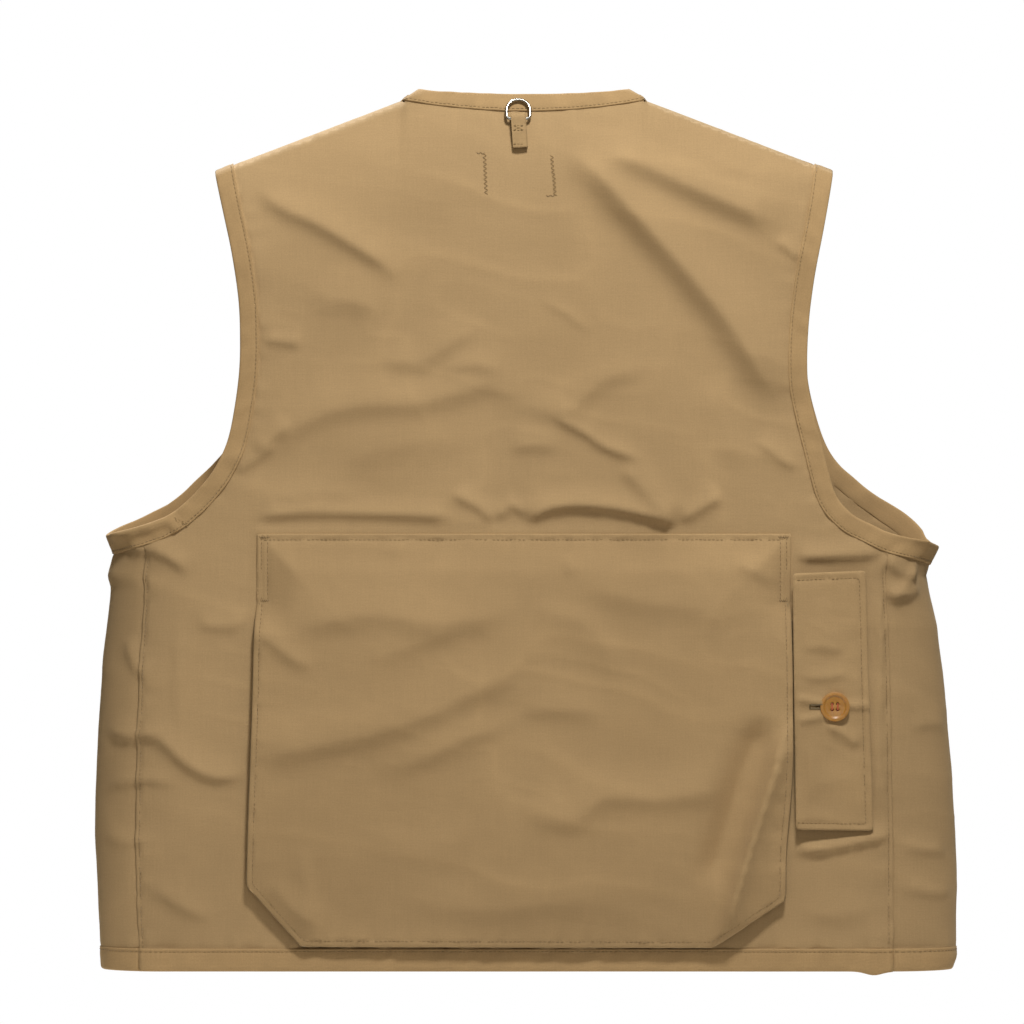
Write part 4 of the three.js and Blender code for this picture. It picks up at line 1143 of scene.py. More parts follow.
@dataclass
class Layer:
    """A piece of cloth on the vest.

    Args:
        name: The piece's name.
        outline: Its outline.
        base: Gives its height above the shell's own departure from the form.
        seams: Its rows of stitches.
        relief: Its own folds.
        calm: Share of the shell's departure that it follows.
        thick: Its thickness.
        spacing: The distance between its points.
        holes: Outlines of openings in it.
        free: Gives how free its own folds are at each place: 0 where it is sewn flat.
    """

    name: str
    outline: Line
    base: Height = lambda a, z: np.full(np.shape(a), FACE)
    seams: tuple[Seam, ...] = ()
    relief: Relief | None = None
    calm: float = 1.0
    thick: float = CLOTH
    spacing: float = 3.2
    holes: tuple[Line, ...] = ()
    free: Height = lambda a, z: np.ones(np.shape(a))

    def height(self, a: Array, z: Array) -> Array:
        """Gives the height of the face at each place."""
        a, z = np.asarray(a, dtype=float), np.asarray(z, dtype=float)
        total = self.base(a, z) + self.calm * shell_lift(a, z)
        if self.relief:
            total = total + self.relief.lift(a, z) * self.free(a, z)
        for seam in self.seams:
            total = total + seam.lift(a, z)
        return total

    def rubbed_and_shaded(self, a: Array, z: Array) -> Array:
        """Gives how worn and how shaded each place is: crests are paler with wear, the valleys of the small creases
        and the grooves of seams are darker with painted shade, and the sides and the foot get painted shade too.
        """
        relief = self.relief or SHELL
        shade = 0.55 * relief.fine(a, z) / max(relief.crumple, 0.1)
        for seam in self.seams:
            shade = shade + 0.5 * seam.lift(a, z)
        # The sides and the foot are made darker with painted shade.
        return np.clip(shade, -0.7, 0.7) - 0.75 * painted_side_and_foot_shade(a, z)

    def build(self, finish: Material) -> Piece:
        """Makes the piece and returns its object."""
        rows = [seam.rows() for seam in self.seams]
        flat, triangles = fill(self.outline, self.spacing, np.vstack(rows) if rows else None, self.holes)
        a, z = flat[:, 0], flat[:, 1]
        face = self.height(a, z)
        count = len(flat)
        rim = border_edges(triangles)
        edge = np.unique(rim)
        face[edge] -= 0.12
        outer, inner = FORM.at(a, z, face), FORM.at(a, z, face - self.thick)
        sides = [(q, p, p + count, q + count) for p, q in rim]
        faces = [*map(tuple, triangles), *(tuple(t[::-1] + count) for t in triangles), *sides]
        wear_and_shade = self.rubbed_and_shaded(a, z)
        wear_and_shade[edge] += 0.3
        # The inner face gets a fixed painted shade, darker than the outer face.
        return mesh_object(self.name, np.vstack([outer, inner]), faces, finish, np.vstack([flat, flat]),
                           np.concatenate([wear_and_shade, wear_and_shade * 0 - 0.35]))

    def sewing(self) -> list[tuple[Line, Height]]:
        """Gives the rows of thread that show on it."""
        return [(seam.line, self.height) for seam in self.seams if seam.sewn]


def inside(points: Array, loop: Line) -> Array:
    """Tells which points lie inside a closed loop."""
    result = np.zeros(len(points), dtype=bool)
    a, z = points[:, 0], points[:, 1]
    for (a1, z1), (a2, z2) in zip(loop, np.roll(loop, -1, axis=0)):
        crosses = (z1 > z) != (z2 > z)
        if crosses.any():
            result ^= crosses & (a < (a2 - a1) * (z - z1) / (z2 - z1 + 1e-12) + a1)
    return result


def rounded(corners: Sequence[tuple[float, float]], radius: float, step: float = 3.0) -> Line:
    """Draws a closed outline with round corners.

    Args:
        corners: Its corners, in order.
        radius: Radius of every corner.
        step: The distance between its points.

    Returns:
        The outline's points, without the first one repeated.
    """
    points = []
    count = len(corners)
    for k in range(count):
        before, corner, after = (np.array(corners[(k + j) % count], dtype=float) for j in (-1, 0, 1))
        back, on = before - corner, after - corner
        cut = min(radius, 0.45 * np.linalg.norm(back), 0.45 * np.linalg.norm(on))
        start = corner + back / np.linalg.norm(back) * cut
        end = corner + on / np.linalg.norm(on) * cut
        for t in np.linspace(0, 1, 5):
            points.append((1 - t) ** 2 * start + 2 * t * (1 - t) * corner + t**2 * end)
    return respaced(np.vstack([*points, points[0]]), step)[:-1]


def framed(out: float, into: float, foot: float, top: float) -> list[tuple[float, float]]:
    """Gives a box's corners: its outer foot, inner foot, inner top and outer top."""
    return [(out, foot), (into, foot), (into, top), (out, top)]


def sweep(name: str, path: Line, section: Sequence[tuple[float, float]], finish: Material,
          lift: Height | None = None, taper: float = 0.0) -> Piece:
    """Runs a closed section along a line on the cloth.

    Args:
        name: The piece's name.
        path: The line.
        section: The section's corners: distance to the right of the line, and height.
        finish: Its material.
        lift: Height added at each place of the line.
        taper: Length over which each end dies down to the cloth.

    Returns:
        The new object.
    """
    raised = lift(path[:, 0], path[:, 1]) if lift else np.zeros(len(path))
    along = distances(path)
    full = smooth(along, 0, taper) * smooth(along[-1] - along, 0, taper) if taper else np.ones(len(along))
    rings, places = [], []
    for off, n in section:
        at = sideways(path, off)
        rings.append(FORM.at(at[:, 0], at[:, 1], raised + 0.6 + (n - 0.6) * (0.25 + 0.75 * full)))
        places.append(np.stack([along, np.full(len(along), off + n)], -1))
    points = np.stack(rings, 1)
    count, size = points.shape[:2]
    return mesh_object(name, points.reshape(-1, 3), tube_faces(count, size), finish,
                       np.stack(places, 1).reshape(-1, 2), np.zeros(count * size))


# ---------------------------------------------------------------- the shell


@dataclass
class Pattern:
    """The lines that the shell is cut and sewn along, on both sides of the body.

    Args:
        arm_band: Width of an armhole's binding.
        hem_band: Width of the hem.
        neck_band: Width of the neck's binding at the fronts.
        seam_left: The left side seam's place on the girth.
        seam_right: The right one's.
        opening: The front edges from the centre front.
    """

    arm_band: float = 13.0
    hem_band: float = 15.7
    neck_band: float = 12.0
    seam_left: float = 265.5
    seam_right: float = 254.5
    opening: float = 12.0

    def __post_init__(self) -> None:
        """Draws the armholes and the neck."""
        tip = float(FORM.ridge(np.array(TIP)))
        front = FORM.centre_front
        under = FORM.flat_half + FORM.side_arc / 2
        left = [(TIP, tip), (208.6, -80), (203, -106), (198.5, -137), (197.4, -164), (198.1, -188), (201.5, -214),
                (206, -235), (213, -251), (221, -263), (233, -276), (248, -287.5), (274, -297), (under, -301),
                (342, -292.5), (361, -283), (front - 242, -273), (front - 231, -262.5), (front - 218, -250),
                (front - 207.5, -236), (front - 202, -214), (front - 198.5, -185), (front - 197.5, -150),
                (front - 202, -112), (front - 208.5, -78), (front - TIP, tip)]
        right = [(TIP, tip), (208.6, -87), (201.8, -122), (197.6, -157), (197, -192), (202, -219), (207, -239),
                 (211.5, -257), (217, -274), (228, -286.5), (240, -293), (256, -300), (276, -304.5), (under, -309),
                 (329, -305), (338, -297), (351, -286.5), (363, -277.5), (front - 242, -269), (front - 232, -260.5),
                 (front - 222, -251.5), (front - 213.5, -239), (front - 206.5, -220), (front - 200, -192),
                 (front - 198, -155), (front - 201.5, -118), (front - 208, -82), (front - TIP, tip)]
        neck = [(NECK_HALF, NECK_RISE), (60, -30), (38, -85), (10, -160)]
        self.arm_edge = {1: spline(left, 2.5), -1: spline(right, 2.5)}
        self.neck_edge = spline([(front - x, z) for x, z in neck], 2.5)

    def seam(self, side: int) -> float:
        """Gives the side seam's place on one side, where the sewing has drawn it."""
        return self.seam_left if side == 1 else self.seam_right

    def arm(self, side: int, off: float) -> Line:
        """Gives the line at a distance inwards from an armhole's free edge, drawn with a positive.

        Args:
            side: +1 for the wearer's left, -1 for the right.
            off: The distance.

        Returns:
            The line from the back of the shoulder, round the underarm, to the front of the shoulder.
        """
        edge = self.arm_edge[side]
        line = sideways(edge, off)
        along = distances(edge)
        x = np.array([line[0][0], FORM.centre_front - line[-1][0]])
        rise = FORM.ridge(x) - line[[0, -1], 1]
        line[:, 1] += rise[0] * (1 - smooth(along, 0, 26)) + rise[1] * (1 - smooth(along[-1] - along, 0, 26))
        return line

    def neck_line(self, off: float) -> Line:
        """Gives the line at a distance outwards from the front neck's free edge, drawn with a positive."""
        line = sideways(self.neck_edge, off)
        along = distances(line)
        start = np.array([FORM.centre_front - NECK_HALF - off, float(FORM.ridge(np.array(NECK_HALF + off)))])
        return line + (start - line[0]) * (1 - smooth(along, 0, 24))[:, None]

    def back_neck(self, u: Array, share: float) -> Line:
        """Gives a line of the back neck's binding: share 0 is the free edge and 1 the seam."""
        edge = np.stack([NECK_HALF * u, NECK_RISE - 3 * (1 - u**2)], -1)
        seam = np.stack([SEAM_HALF * u, SEAM_RISE - 8 * (1 - u**2)], -1)
        return edge * (1 - share) + seam * share


def turned(line: Line, side: int) -> Line:
    """Gives a line drawn with a positive on the asked side, run the same way."""
    return line * np.array([side, 1.0])


UNDERARM = {
    # Where the left band is twisted over itself, and where the right one buckles.
    1: folds_of((((296, -303), (274, -300), (252, -293), (244, -290)), 3.6, 5.5, 0.6, 0.5, 0.15),
        (((248, -281), (245, -290), (240, -300)), 2.6, 3.4, -0.5, 0.6, 0.2)),
    -1: folds_of((((-222, -250), (-244, -278), (-268, -300), (-290, -306)), 3.0, 6, 0.6, 0.5, 0.2),
         (((-262, -288), (-276, -300), (-288, -316)), 2.2, 4, 0.4, 0.6, 0.25)),
}


@dataclass
class Shell:
    """The vest's body: one back, two fronts, and the bindings round every edge.

    Args:
        pattern: The lines that it is cut along.
    """

    pattern: Pattern

    def back_outline(self) -> Line:
        """Draws the back panel's outline."""
        p = self.pattern
        u = np.linspace(-1, 1, 57)
        neck = p.back_neck(u, 1.0) + np.array([0, 3.0]) * (1 - u[:, None] ** 8)
        runs = [neck]
        for side in (1, -1):
            arm = p.arm(side, p.arm_band - TUCK)
            arm = arm[arm[:, 0] <= p.seam(side)]
            ridge_x = np.linspace(SEAM_HALF, arm[0][0], 40)[1:-1]
            ridge = np.stack([ridge_x, FORM.ridge(ridge_x)], -1)
            foot = FORM.hem_z + p.hem_band - TUCK
            seam = straight([(p.seam(side), arm[-1][1]), (p.seam(side), foot)], 3.0)
            half = np.vstack([ridge, arm, seam])
            runs.append(half if side == 1 else turned(half, -1)[::-1])
        right_side, left_side = runs[2], runs[1]
        foot = straight([tuple(left_side[-1]), tuple(right_side[0])], 3.0)[1:-1]
        return np.vstack([neck, left_side, foot, right_side])

    def front_outline(self, side: int) -> Line:
        """Draws a front's outline."""
        p = self.pattern
        arm = p.arm(side, p.arm_band - TUCK)
        under = p.seam(side) - 2.6
        arm = arm[arm[:, 0] >= under]
        neck = p.neck_line(p.neck_band - TUCK)
        edge = FORM.centre_front - p.opening
        neck = neck[neck[:, 0] <= edge - 1]
        ridge_x = np.linspace(FORM.centre_front - arm[-1][0], NECK_HALF + p.neck_band - TUCK, 46)[1:-1]
        ridge = np.stack([FORM.centre_front - ridge_x, FORM.ridge(ridge_x)], -1)
        foot = FORM.hem_z + p.hem_band - TUCK
        rest = straight([(edge, neck[-1][1] - 2), (edge, foot), (under, foot), (under, arm[0][1])], 3.0)[:-1]
        return turned(np.vstack([arm, ridge, neck, rest]), side)

    def build(self, shop: Workshop) -> dict[str, Layer]:
        """Makes the shell.

        Args:
            shop: The finishes, and where pieces are put.

        Returns:
            The back's and the fronts' layers, by name.
        """
        p = self.pattern
        made: dict[str, Layer] = {}
        sewing: dict[str, list] = {"back": [], "left": [], "right": []}
        seams = []
        for side in (1, -1):
            top = float(p.arm(side, p.arm_band)[:, 1].min())
            seams.append(Seam(straight([(side * (p.seam(side) - 2.4), top - 4), (side * (p.seam(side) - 2.4),
                         FORM.hem_z + p.hem_band)], 3.0), 0.45, 0.55, 9.0, 31 + side))
            arm = p.arm(side, p.arm_band + 0.6)
            arm = turned(arm[arm[:, 0] <= p.seam(side)], side)
            seams.append(Seam(arm, 0.35, 0.5, 9.0, 41 + side, sewn=False))
        u = np.linspace(-1, 1, 60)
        seams.append(Seam(p.back_neck(u, 1.05), 0.35, 0.4, 7.0, 44, sewn=False))
        foot = FORM.hem_z + p.hem_band + 0.6
        seams.append(Seam(straight([(-p.seam(-1), foot), (p.seam(1), foot)], 3.0), 0.3, 0.6, 9.0, 45, sewn=False))
        back = Layer("back_cloth", self.back_outline(), seams=tuple(seams), spacing=2.9)
        cloth = shop.put(back.build(shop.poplin[Tone.PANEL]), "vest", "khaki_panel", "back_panel")
        made["back"] = back
        sewing["back"] += back.sewing()
        for side, word in SIDES:
            arm = p.arm(side, p.arm_band + 0.6)
            arm = turned(arm[arm[:, 0] >= p.seam(side)], side)
            neck = turned(p.neck_line(p.neck_band + 0.6), side)
            edge = FORM.centre_front - p.opening
            zip_rows = [Seam(straight([(side * (edge - off), -172), (side * (edge - off), FORM.hem_z + p.hem_band)],
                        3.0), 0.4, 0.3, 5.0, 51) for off in (2.5, 9.0)]
            seams = (Seam(arm, 0.35, 0.5, 9.0, 47, sewn=False), Seam(neck, 0.35, 0.4, 7.0, 48, sewn=False), *zip_rows,
                     Seam(straight([(side * p.seam(side), foot), (side * edge, foot)], 3.0), 0.3, 0.6, 9.0, 49,
                          sewn=False))
            joined = p.seam(side)

            def tucked(a: Array, z: Array, joined: float = joined) -> Array:
                """Lowers the edge that runs under the back at the side seam."""
                return FACE - 0.95 * (1 - smooth(np.abs(a), joined - 1, joined + 5))

            front = Layer(f"front_cloth_{word}", self.front_outline(side), tucked, seams, spacing=3.1)
            cloth = shop.hang(front.build(shop.poplin[Tone.PANEL]), side, "khaki_panel", f"front_panel_{word}",
                              f"front_opening_{word}")
            made[word] = front
            sewing[word] += front.sewing()
        self.bind(shop, sewing)
        for key, rows in sewing.items():
            thread = stitches(f"stitches_{key}", rows, shop.thread)
            if key == "back":
                shop.put(thread, "vest", "khaki_band")
            else:
                shop.hang(thread, 1 if key == "left" else -1, "khaki_band")
        return made

    def bind(self, shop: Workshop, sewing: dict[str, list]) -> None:
        """Makes the bindings.

        Args:
            shop: The finishes, and where pieces are put.
            sewing: Where their rows of stitches are added.
        """
        p = self.pattern
        band = shop.poplin[Tone.BAND]
        necks: dict[int, Binding] = {}
        for side, word in SIDES:
            lines = (turned(p.arm(side, off), side) for off in (0, p.arm_band))
            arm = Binding(f"armhole_binding_{word}", *lines, 61 + side, 0.45, 0.3, folds=UNDERARM[side])
            strip = shop.put(arm.build(band), "vest", "khaki_band", f"armhole_band_{word}")
            sewing["back"].append(arm.stitch_line())
            if side == 1:
                face = arm.stitch_line()[1]
                sewing["back"] += [(np.array([(243.5, -288.6 - k), (233.5, -293.2 - k)]), face) for k in range(3)]
            lines = (turned(p.neck_line(off), side) for off in (0, p.neck_band))
            neck = Binding(f"neck_binding_{word}", *lines, 66 + side, 0.3, 0.3)
            strip = shop.hang(neck.build(band), side, "khaki_band", f"neck_band_upper_{word}",
                              f"neck_band_lower_{word}")
            necks[side] = neck
            sewing[word].append(neck.stitch_line())
            edge = FORM.centre_front - p.opening
            low = straight([(side * p.seam(side), FORM.hem_z), (side * edge, FORM.hem_z)], 2.5)
            hem = Binding(f"hem_front_{word}", low, low + np.array([0, p.hem_band]), 71 + side, 0.45, 0.4)
            strip = shop.hang(hem.build(band), side, "khaki_band", f"hem_band_{word}", f"hem_band_opening_{word}")
            sewing[word].append(hem.stitch_line())
        u = np.linspace(-1, 1, 80)
        neck = Binding("neck_binding_back", p.back_neck(u, 0.0), p.back_neck(u, 1.0), 77, 0.3, 0.3)
        shop.put(neck.build(band), "vest", "khaki_band", "neck_band_back")
        sewing["back"].append(neck.stitch_line())
        for side, word in SIDES:
            first, second = neck.ends[side == 1], necks[side].ends[0]
            size = len(first)
            places = np.stack([np.repeat([0.0, 3.0], size), np.tile(np.arange(size) * 2.0, 2)], -1)
            turn = mesh_object(f"neck_binding_turn_{word}", np.vstack([first, second]), tube_faces(2, size), band,
                               places, np.zeros(2 * size))
            shop.put(turn, "vest", "khaki_band")
        top = straight([(-p.seam(-1), FORM.hem_z + p.hem_band), (p.seam(1), FORM.hem_z + p.hem_band)], 2.5)
        low = top - np.array([0, p.hem_band])
        low[:, 1] -= 2.6 * np.exp(-(((low[:, 0] + 243) / 8) ** 2))
        hem = Binding("hem_back", low, top, 79, 0.5, 0.5)
        shop.put(hem.build(band), "vest", "khaki_band", "hem_band_back")
        sewing["back"].append(hem.stitch_line())


# ---------------------------------------------------------------- the creel pouch


# The gusset's folded section: the distance in from the pouch's free edge, and the height.
GUSSET_SECTION = ((2.0, 6.9), (2.0, 7.6), (5.4, 4.9), (0.8, 2.6), (3.6, 1.5), (8.0, 1.5), (8.0, 0.95), (3.2, 0.95),
                  (-0.6, 2.0), (4.2, 4.8))


@dataclass
class CreelPouch:
    """The wide pouch on the back: sewn flat along its top, with bellows at its sides and foot.

    Args:
        top: Height of its top edge.
        foot: Height of its foot.
        sewn_down_to: Where its sides stop being sewn flat.
        edge_lift: How far the bellows hold its edge off the back.
        crown: How far it bulges beyond its edges.
    """

    top: float = -300.0
    foot: float = -586.5
    sewn_down_to: float = -346.0
    edge_lift: float = 6.6
    crown: float = 6.0

    def __post_init__(self) -> None:
        """Draws its edges."""
        self.left = spline([(POUCH_HALF, self.top), (186, -346), (187.6, -372), (189, -430), (191.5, -500),
                            (192.5, -541)], 3.0)
        self.right = spline([(-POUCH_HALF, self.top), (-POUCH_HALF, -346), (-186.5, -402), (-186.5, -450),
                             (-185, -485), (-182, -520), (-181.5, -550)], 3.0)
        corner_left = [(192, -545), (154.7, self.foot)]
        corner_right = [(-180.5, -555), (-131, self.foot - 0.8)]
        loose = [side[:, 1] < self.sewn_down_to for side in (self.left, self.right)]
        free_left, free_right = self.left[loose[0]], self.right[loose[1]]
        self.free = respaced(np.vstack([
            free_left, straight(corner_left, 3.0), straight([corner_left[1], corner_right[1]], 3.0)[1:-1],
            straight(corner_right[::-1], 3.0), free_right[::-1]]), 3.0)
        self.outline = np.vstack([
            self.left, self.free[len(free_left):-len(free_right)], self.right[::-1],
            straight([(-POUCH_HALF, self.top), (POUCH_HALF, self.top)], 3.0)[1:-1]])
        self.sewn = np.vstack([self.left[~loose[0]][::-1], self.right[~loose[1]]])

    def lift(self, a: Array, z: Array) -> Array:
        """Gives the height of the pouch's face."""
        to_sewn = distance_to(respaced(self.sewn, 12.0), a, z)[0]
        to_free = distance_to(respaced(self.free, 12.0), a, z)[0]
        rounding = 1.0 * (1 - smooth(to_free, 0, 2.4))
        return (FACE + 1.1 + self.edge_lift * smooth(to_sewn, 0, 30)
                + self.crown * smooth(np.minimum(to_sewn, to_free), 0, 90) - rounding)

    def build(self, shop: Workshop) -> Layer:
        """Makes the pouch and returns its panel's layer."""
        relief = Relief(folds_of(
            # The long turned fold at its right.
            (((-190, -424), (-178, -446), (-170, -472), (-162, -497), (-154, -523), (-146, -548), (-139, -571),
                    (-126, -592)), 8.6, 11, 0.7, 0.6, 0.2),
            (((-187, -436), (-172, -472), (-156, -520), (-142, -568), (-134, -584)), 3.6, 4.5, 0.6, 0.8, 0.25),
            (((-170, -424), (-154, -460), (-140, -505), (-126, -550)), -5.6, 12, 0.0, 0.2, 0.2),
            # The soft folds across it.
            (((194, -458), (152, -448), (107, -438), (69, -426), (37, -410), (-4, -393)), 4.4, 15, 0.55, 0.2,
                   0.18),
            (((190, -368), (174, -376), (160, -387), (142, -394)), 2.2, 8, 0.5, 0.35),
            (((172, -370), (132, -359), (100, -356), (56, -362), (0, -352)), 3.4, 15, 0.55, 0.2, 0.2),
            (((112, -388), (75, -376), (36, -364)), 2.0, 11, 0.5, 0.2),
            (((110, -464), (75, -457), (40, -441), (-4, -428)), 3.0, 12, 0.5, 0.2),
            (((184, -309), (142, -306), (94, -309), (40, -312)), 1.8, 7, 0.5, 0.4),
            (((12, -426), (-22, -421), (-60, -426)), 2.2, 11, 0.5, 0.2),
            (((4, -492), (-32, -498), (-54, -483), (-96, -483), (-146, -476)), 3.2, 13, 0.5, 0.2, 0.2),
            (((0, -352), (-40, -362), (-58, -384), (-62, -410)), 2.2, 11, -0.3, 0.2),
            (((-30, -330), (-80, -346), (-120, -352), (-150, -370)), 2.2, 14, 0.4, 0.2),
            (((-140, -318), (-160, -326), (-184, -338)), 1.8, 7, 0.5, 0.4),
            (((-26, -314), (-30, -320), (-34, -330)), 0.9, 5, 0.3, 0.5),
            (((156, -512), (151, -545), (150, -584)), 1.8, 7, -0.3, 0.3),
            (((180, -536), (160, -560), (134, -578)), 2.8, 9, 0.4, 0.3),
            (((100, -546), (40, -560), (-40, -556), (-100, -566)), 2.4, 14, 0.4, 0.2),
            (((30, -500), (70, -520), (120, -506)), 1.8, 14, 0.3, 0.2),
        ), roll=1.5, crumple=0.85, seed=17)
        inner_top = self.top - 4.2
        seams = [Seam(straight([(-181, inner_top), (181, inner_top)], 3.0), 0.5, 0.55, 8.0, 81)]
        for side in (1, -1):
            for off in (3.0, 7.4):
                x = side * (POUCH_HALF - off)
                seams.append(Seam(straight([(x, self.top - 2), (x, self.sewn_down_to)], 3.0), 0.5, 0.35, 6.0, 83))
        edge_row = respaced(sideways(self.free, 4.0), 3.0)
        if not inside(edge_row[len(edge_row) // 2][None], self.outline)[0]:
            edge_row = sideways(self.free, -4.0)
        seams.append(Seam(edge_row, 0.4, 0.45, 6.0, 85))
        panel = Layer("creel_pouch_cloth", self.outline, self.lift, tuple(seams), relief, thick=1.1, spacing=2.9,
                      free=lambda a, z: smooth(distance_to(respaced(self.sewn, 12.0), a, z)[0], 0, 22))
        cloth = shop.put(panel.build(shop.poplin[Tone.POCKET]), "vest", "khaki_pocket", "creel_pouch")
        inward = 1.0 if inside(sideways(self.free, 5.0)[20][None], self.outline)[0] else -1.0
        # The gusset takes the darkest tone of the cloth: painted shade under the pouch's edge.
        gusset = sweep("creel_gusset_cloth", self.free, [(inward * off, n) for off, n in GUSSET_SECTION],
                       shop.poplin[Tone.INSIDE], shell_lift, 34.0)
        shop.put(gusset, "vest", "khaki_pocket", "creel_gusset")
        shop.sew("stitches_pouch", panel, "vest")
        self.tacks(shop, panel)
        return panel

    def tacks(self, shop: Workshop, panel: Layer) -> None:
        """Sews the dense tacks at the ends of the side seams.

        Args:
            shop: The finishes, and where pieces are put.
            panel: The pouch's panel.
        """
        rows = []
        for side in (1, -1):
            for height, wide in ((self.top - 2.5, 7.0), (self.sewn_down_to - 0.5, 6.0)):
                middle = side * (POUCH_HALF - 5.2)
                count = 8
                zigzag = [(middle + wide / 2 * (t * 2 / count - 1), height + 0.8 * (-1) ** t)
                          for t in range(count + 1)]
                rows.append((np.array(zigzag), panel.height))
        shop.put(stitches("tacks_pouch", rows, shop.thread, StitchKind(3.0, 0.0, 0.24), each=True), "vest",
                 "khaki_pocket")


@dataclass
class CreelFlap:
    """The flap that closes the side of the creel pouch, buttoned down beside it.

    Args:
        hinge_n: Height of its underside at its sewn edge.
        tip_n: Height of its underside at its free edge.
        slit: Length of the buttonhole.
    """

    hinge_n: float = 8.6
    tip_n: float = 2.4
    slit: float = 20.0

    def build(self, shop: Workshop) -> None:
        """Makes the flap and its buttonhole."""
        low, high = node_box("creel_flap")
        button_low, button_high = node_box("creel_flap_button")
        button_x = float(button_low[0] + button_high[0]) / 2
        button_z = float(button_low[2] + button_high[2]) / 2
        root, tip = float(high[0]), float(low[0])
        corners = [(root + 0.8, high[2] - 0.5), (tip + 7.5, high[2] + 1.4), (tip + 5.2, button_z + 4),
                   (tip + 2.6, low[2] + 3.6), (root - 1.6, low[2] + 4.6)]
        outline = rounded(corners, 2.2, 2.6)

        def base(a: Array, z: Array) -> Array:
            """Gives the flap's slope from the pouch's edge down to the back."""
            share = np.clip((root - a) / (root - tip), 0, 1)
            near = np.exp(-(((a - button_x) / 16) ** 2) - ((z - button_z) / 14) ** 2)
            return 1.7 + self.hinge_n + (self.tip_n - self.hinge_n) * share + 0.6 * near

        bx, bz = button_x, button_z
        relief = Relief(folds_of(
            (((bx + 4, bz + 2), (bx + 16, bz + 4), (root, bz + 6)), 2.2, 3.6, 0.2, 0.6, 0.25),
            (((bx + 4, bz - 5), (bx + 15, bz - 8), (root - 1, bz - 10)), 1.9, 3.6, 0.2, 0.6, 0.25),
            (((bx - 3, bz + 1), (bx - 14, bz), (tip + 2, bz + 1)), 1.8, 3.4, 0.2, 0.6, 0.25),
            (((bx + 8, bz - 12), (bx - 8, bz - 20), (bx - 18, bz - 29)), 2.2, 5, 0.2, 0.5, 0.25),
            (((root - 4, bz + 60), (bx, bz + 52), (tip + 6, bz + 58)), 0.8, 8, 0.2, 0.3),
            (((root - 8, bz - 56), (bx - 4, bz - 50), (tip + 8, bz - 54)), 0.9, 9, 0.2, 0.3),
            (((bx + 10, bz + 80), (bx + 6, bz + 30)), 0.9, 7, 0.2, 0.3),
            (((root - 10, bz - 18), (root - 12, bz - 44), (root - 9, bz - 74)), 1.8, 6, 0.4, 0.3),
            (((root - 3, bz + 40), (root - 18, bz + 42), (bx - 10, bz + 38)), 1.3, 6, 0.4, 0.4),
            (((root - 3, bz + 22), (root - 20, bz + 20), (bx - 12, bz + 24)), 1.3, 5, 0.4, 0.4),
        ), roll=0.7, crumple=0.7, seed=27)
        edge_row = straight([(root - 2, high[2] - 5.2), (tip + 12.2, high[2] - 3.6), (tip + 10.0, button_z),
                             (tip + 7.6, low[2] + 8.4), (root - 2, low[2] + 9.4)], 2.8)
        slit_start, slit_end = bx - 3.0, bx - 3.0 + self.slit
        turns = np.linspace(0, 2 * math.pi, 24, endpoint=False)
        hole = np.stack([(slit_start + slit_end) / 2 + self.slit / 2 * np.cos(turns), bz + 0.5 * np.sin(turns)], -1)
        flap = Layer("creel_flap_cloth", outline, base, (Seam(edge_row, 0.45, 0.4, 5.0, 87),), relief, thick=1.4,
                     spacing=2.2, holes=(hole,))
        cloth = shop.put(flap.build(shop.poplin[Tone.POCKET]), "creel_flap", "khaki_pocket", "creel_flap")
        shop.sew("stitches_flap", flap, "creel_flap")
        rows = []
        for side in (1, -1):
            count = int(self.slit / 0.62)
            for k in range(count):
                x = slit_start + (k + 0.5) * self.slit / count
                rows.append((np.array([(x, bz + side * 0.55), (x, bz + side * 2.0)]), flap.height))
        for end in (slit_start - 0.3, slit_end + 0.3):
            for k in range(-2, 3):
                rows.append((np.array([(end - 0.6, bz + k * 0.7), (end + 0.6, bz + k * 0.7)]), flap.height))
        shop.put(stitches("buttonhole_thread", rows, shop.dark_thread, StitchKind(1.5, 0.0, 0.3), each=True),
                 "creel_flap", "khaki_pocket")


# ---------------------------------------------------------------- hard pieces


def add_cylinder(radius: float, depth: float, at: Sequence[float], sides: int = 48) -> Piece:
    """Adds a cylinder that stands along Z, in millimetres."""
    bpy.ops.object.select_all(action="DESELECT")
    bpy.ops.mesh.primitive_cylinder_add(vertices=sides, radius=radius * MM, depth=depth * MM,
                                        location=tuple(v * MM for v in at))
    return bpy.context.active_object


def add_box(size: Sequence[float], at: Sequence[float]) -> Piece:
    """Adds a box, in millimetres, with its size in its mesh."""
    bpy.ops.object.select_all(action="DESELECT")
    bpy.ops.mesh.primitive_cube_add(size=1, location=tuple(v * MM for v in at))
    obj = bpy.context.active_object
    obj.scale = tuple(v * MM for v in size)
    settle(obj)
    return obj


def narrow(obj: Piece, up: int, share: float) -> None:
    """Narrows a box across at its upper end, up = +1, or its lower end, up = -1, to a share of its width."""
    pick_faces(obj, lambda face: face.normal.z * up > 0.9)
    bpy.ops.transform.resize(value=(share, 1, 1))
    bpy.ops.object.mode_set(mode="OBJECT")


def round_edges(obj: Piece, width: float, segments: int = 2, angle: float = 35.0) -> None:
    """Rounds an object's sharp edges, and shades it smooth across them."""
    modifier = obj.modifiers.new("edges", "BEVEL")
    modifier.width = width * MM
    modifier.segments = segments
    modifier.limit_method = "ANGLE"
    modifier.angle_limit = math.radians(angle)
    apply_modifiers(obj)
    select_only(obj)
    bpy.ops.object.shade_smooth_by_angle(angle=math.radians(40))


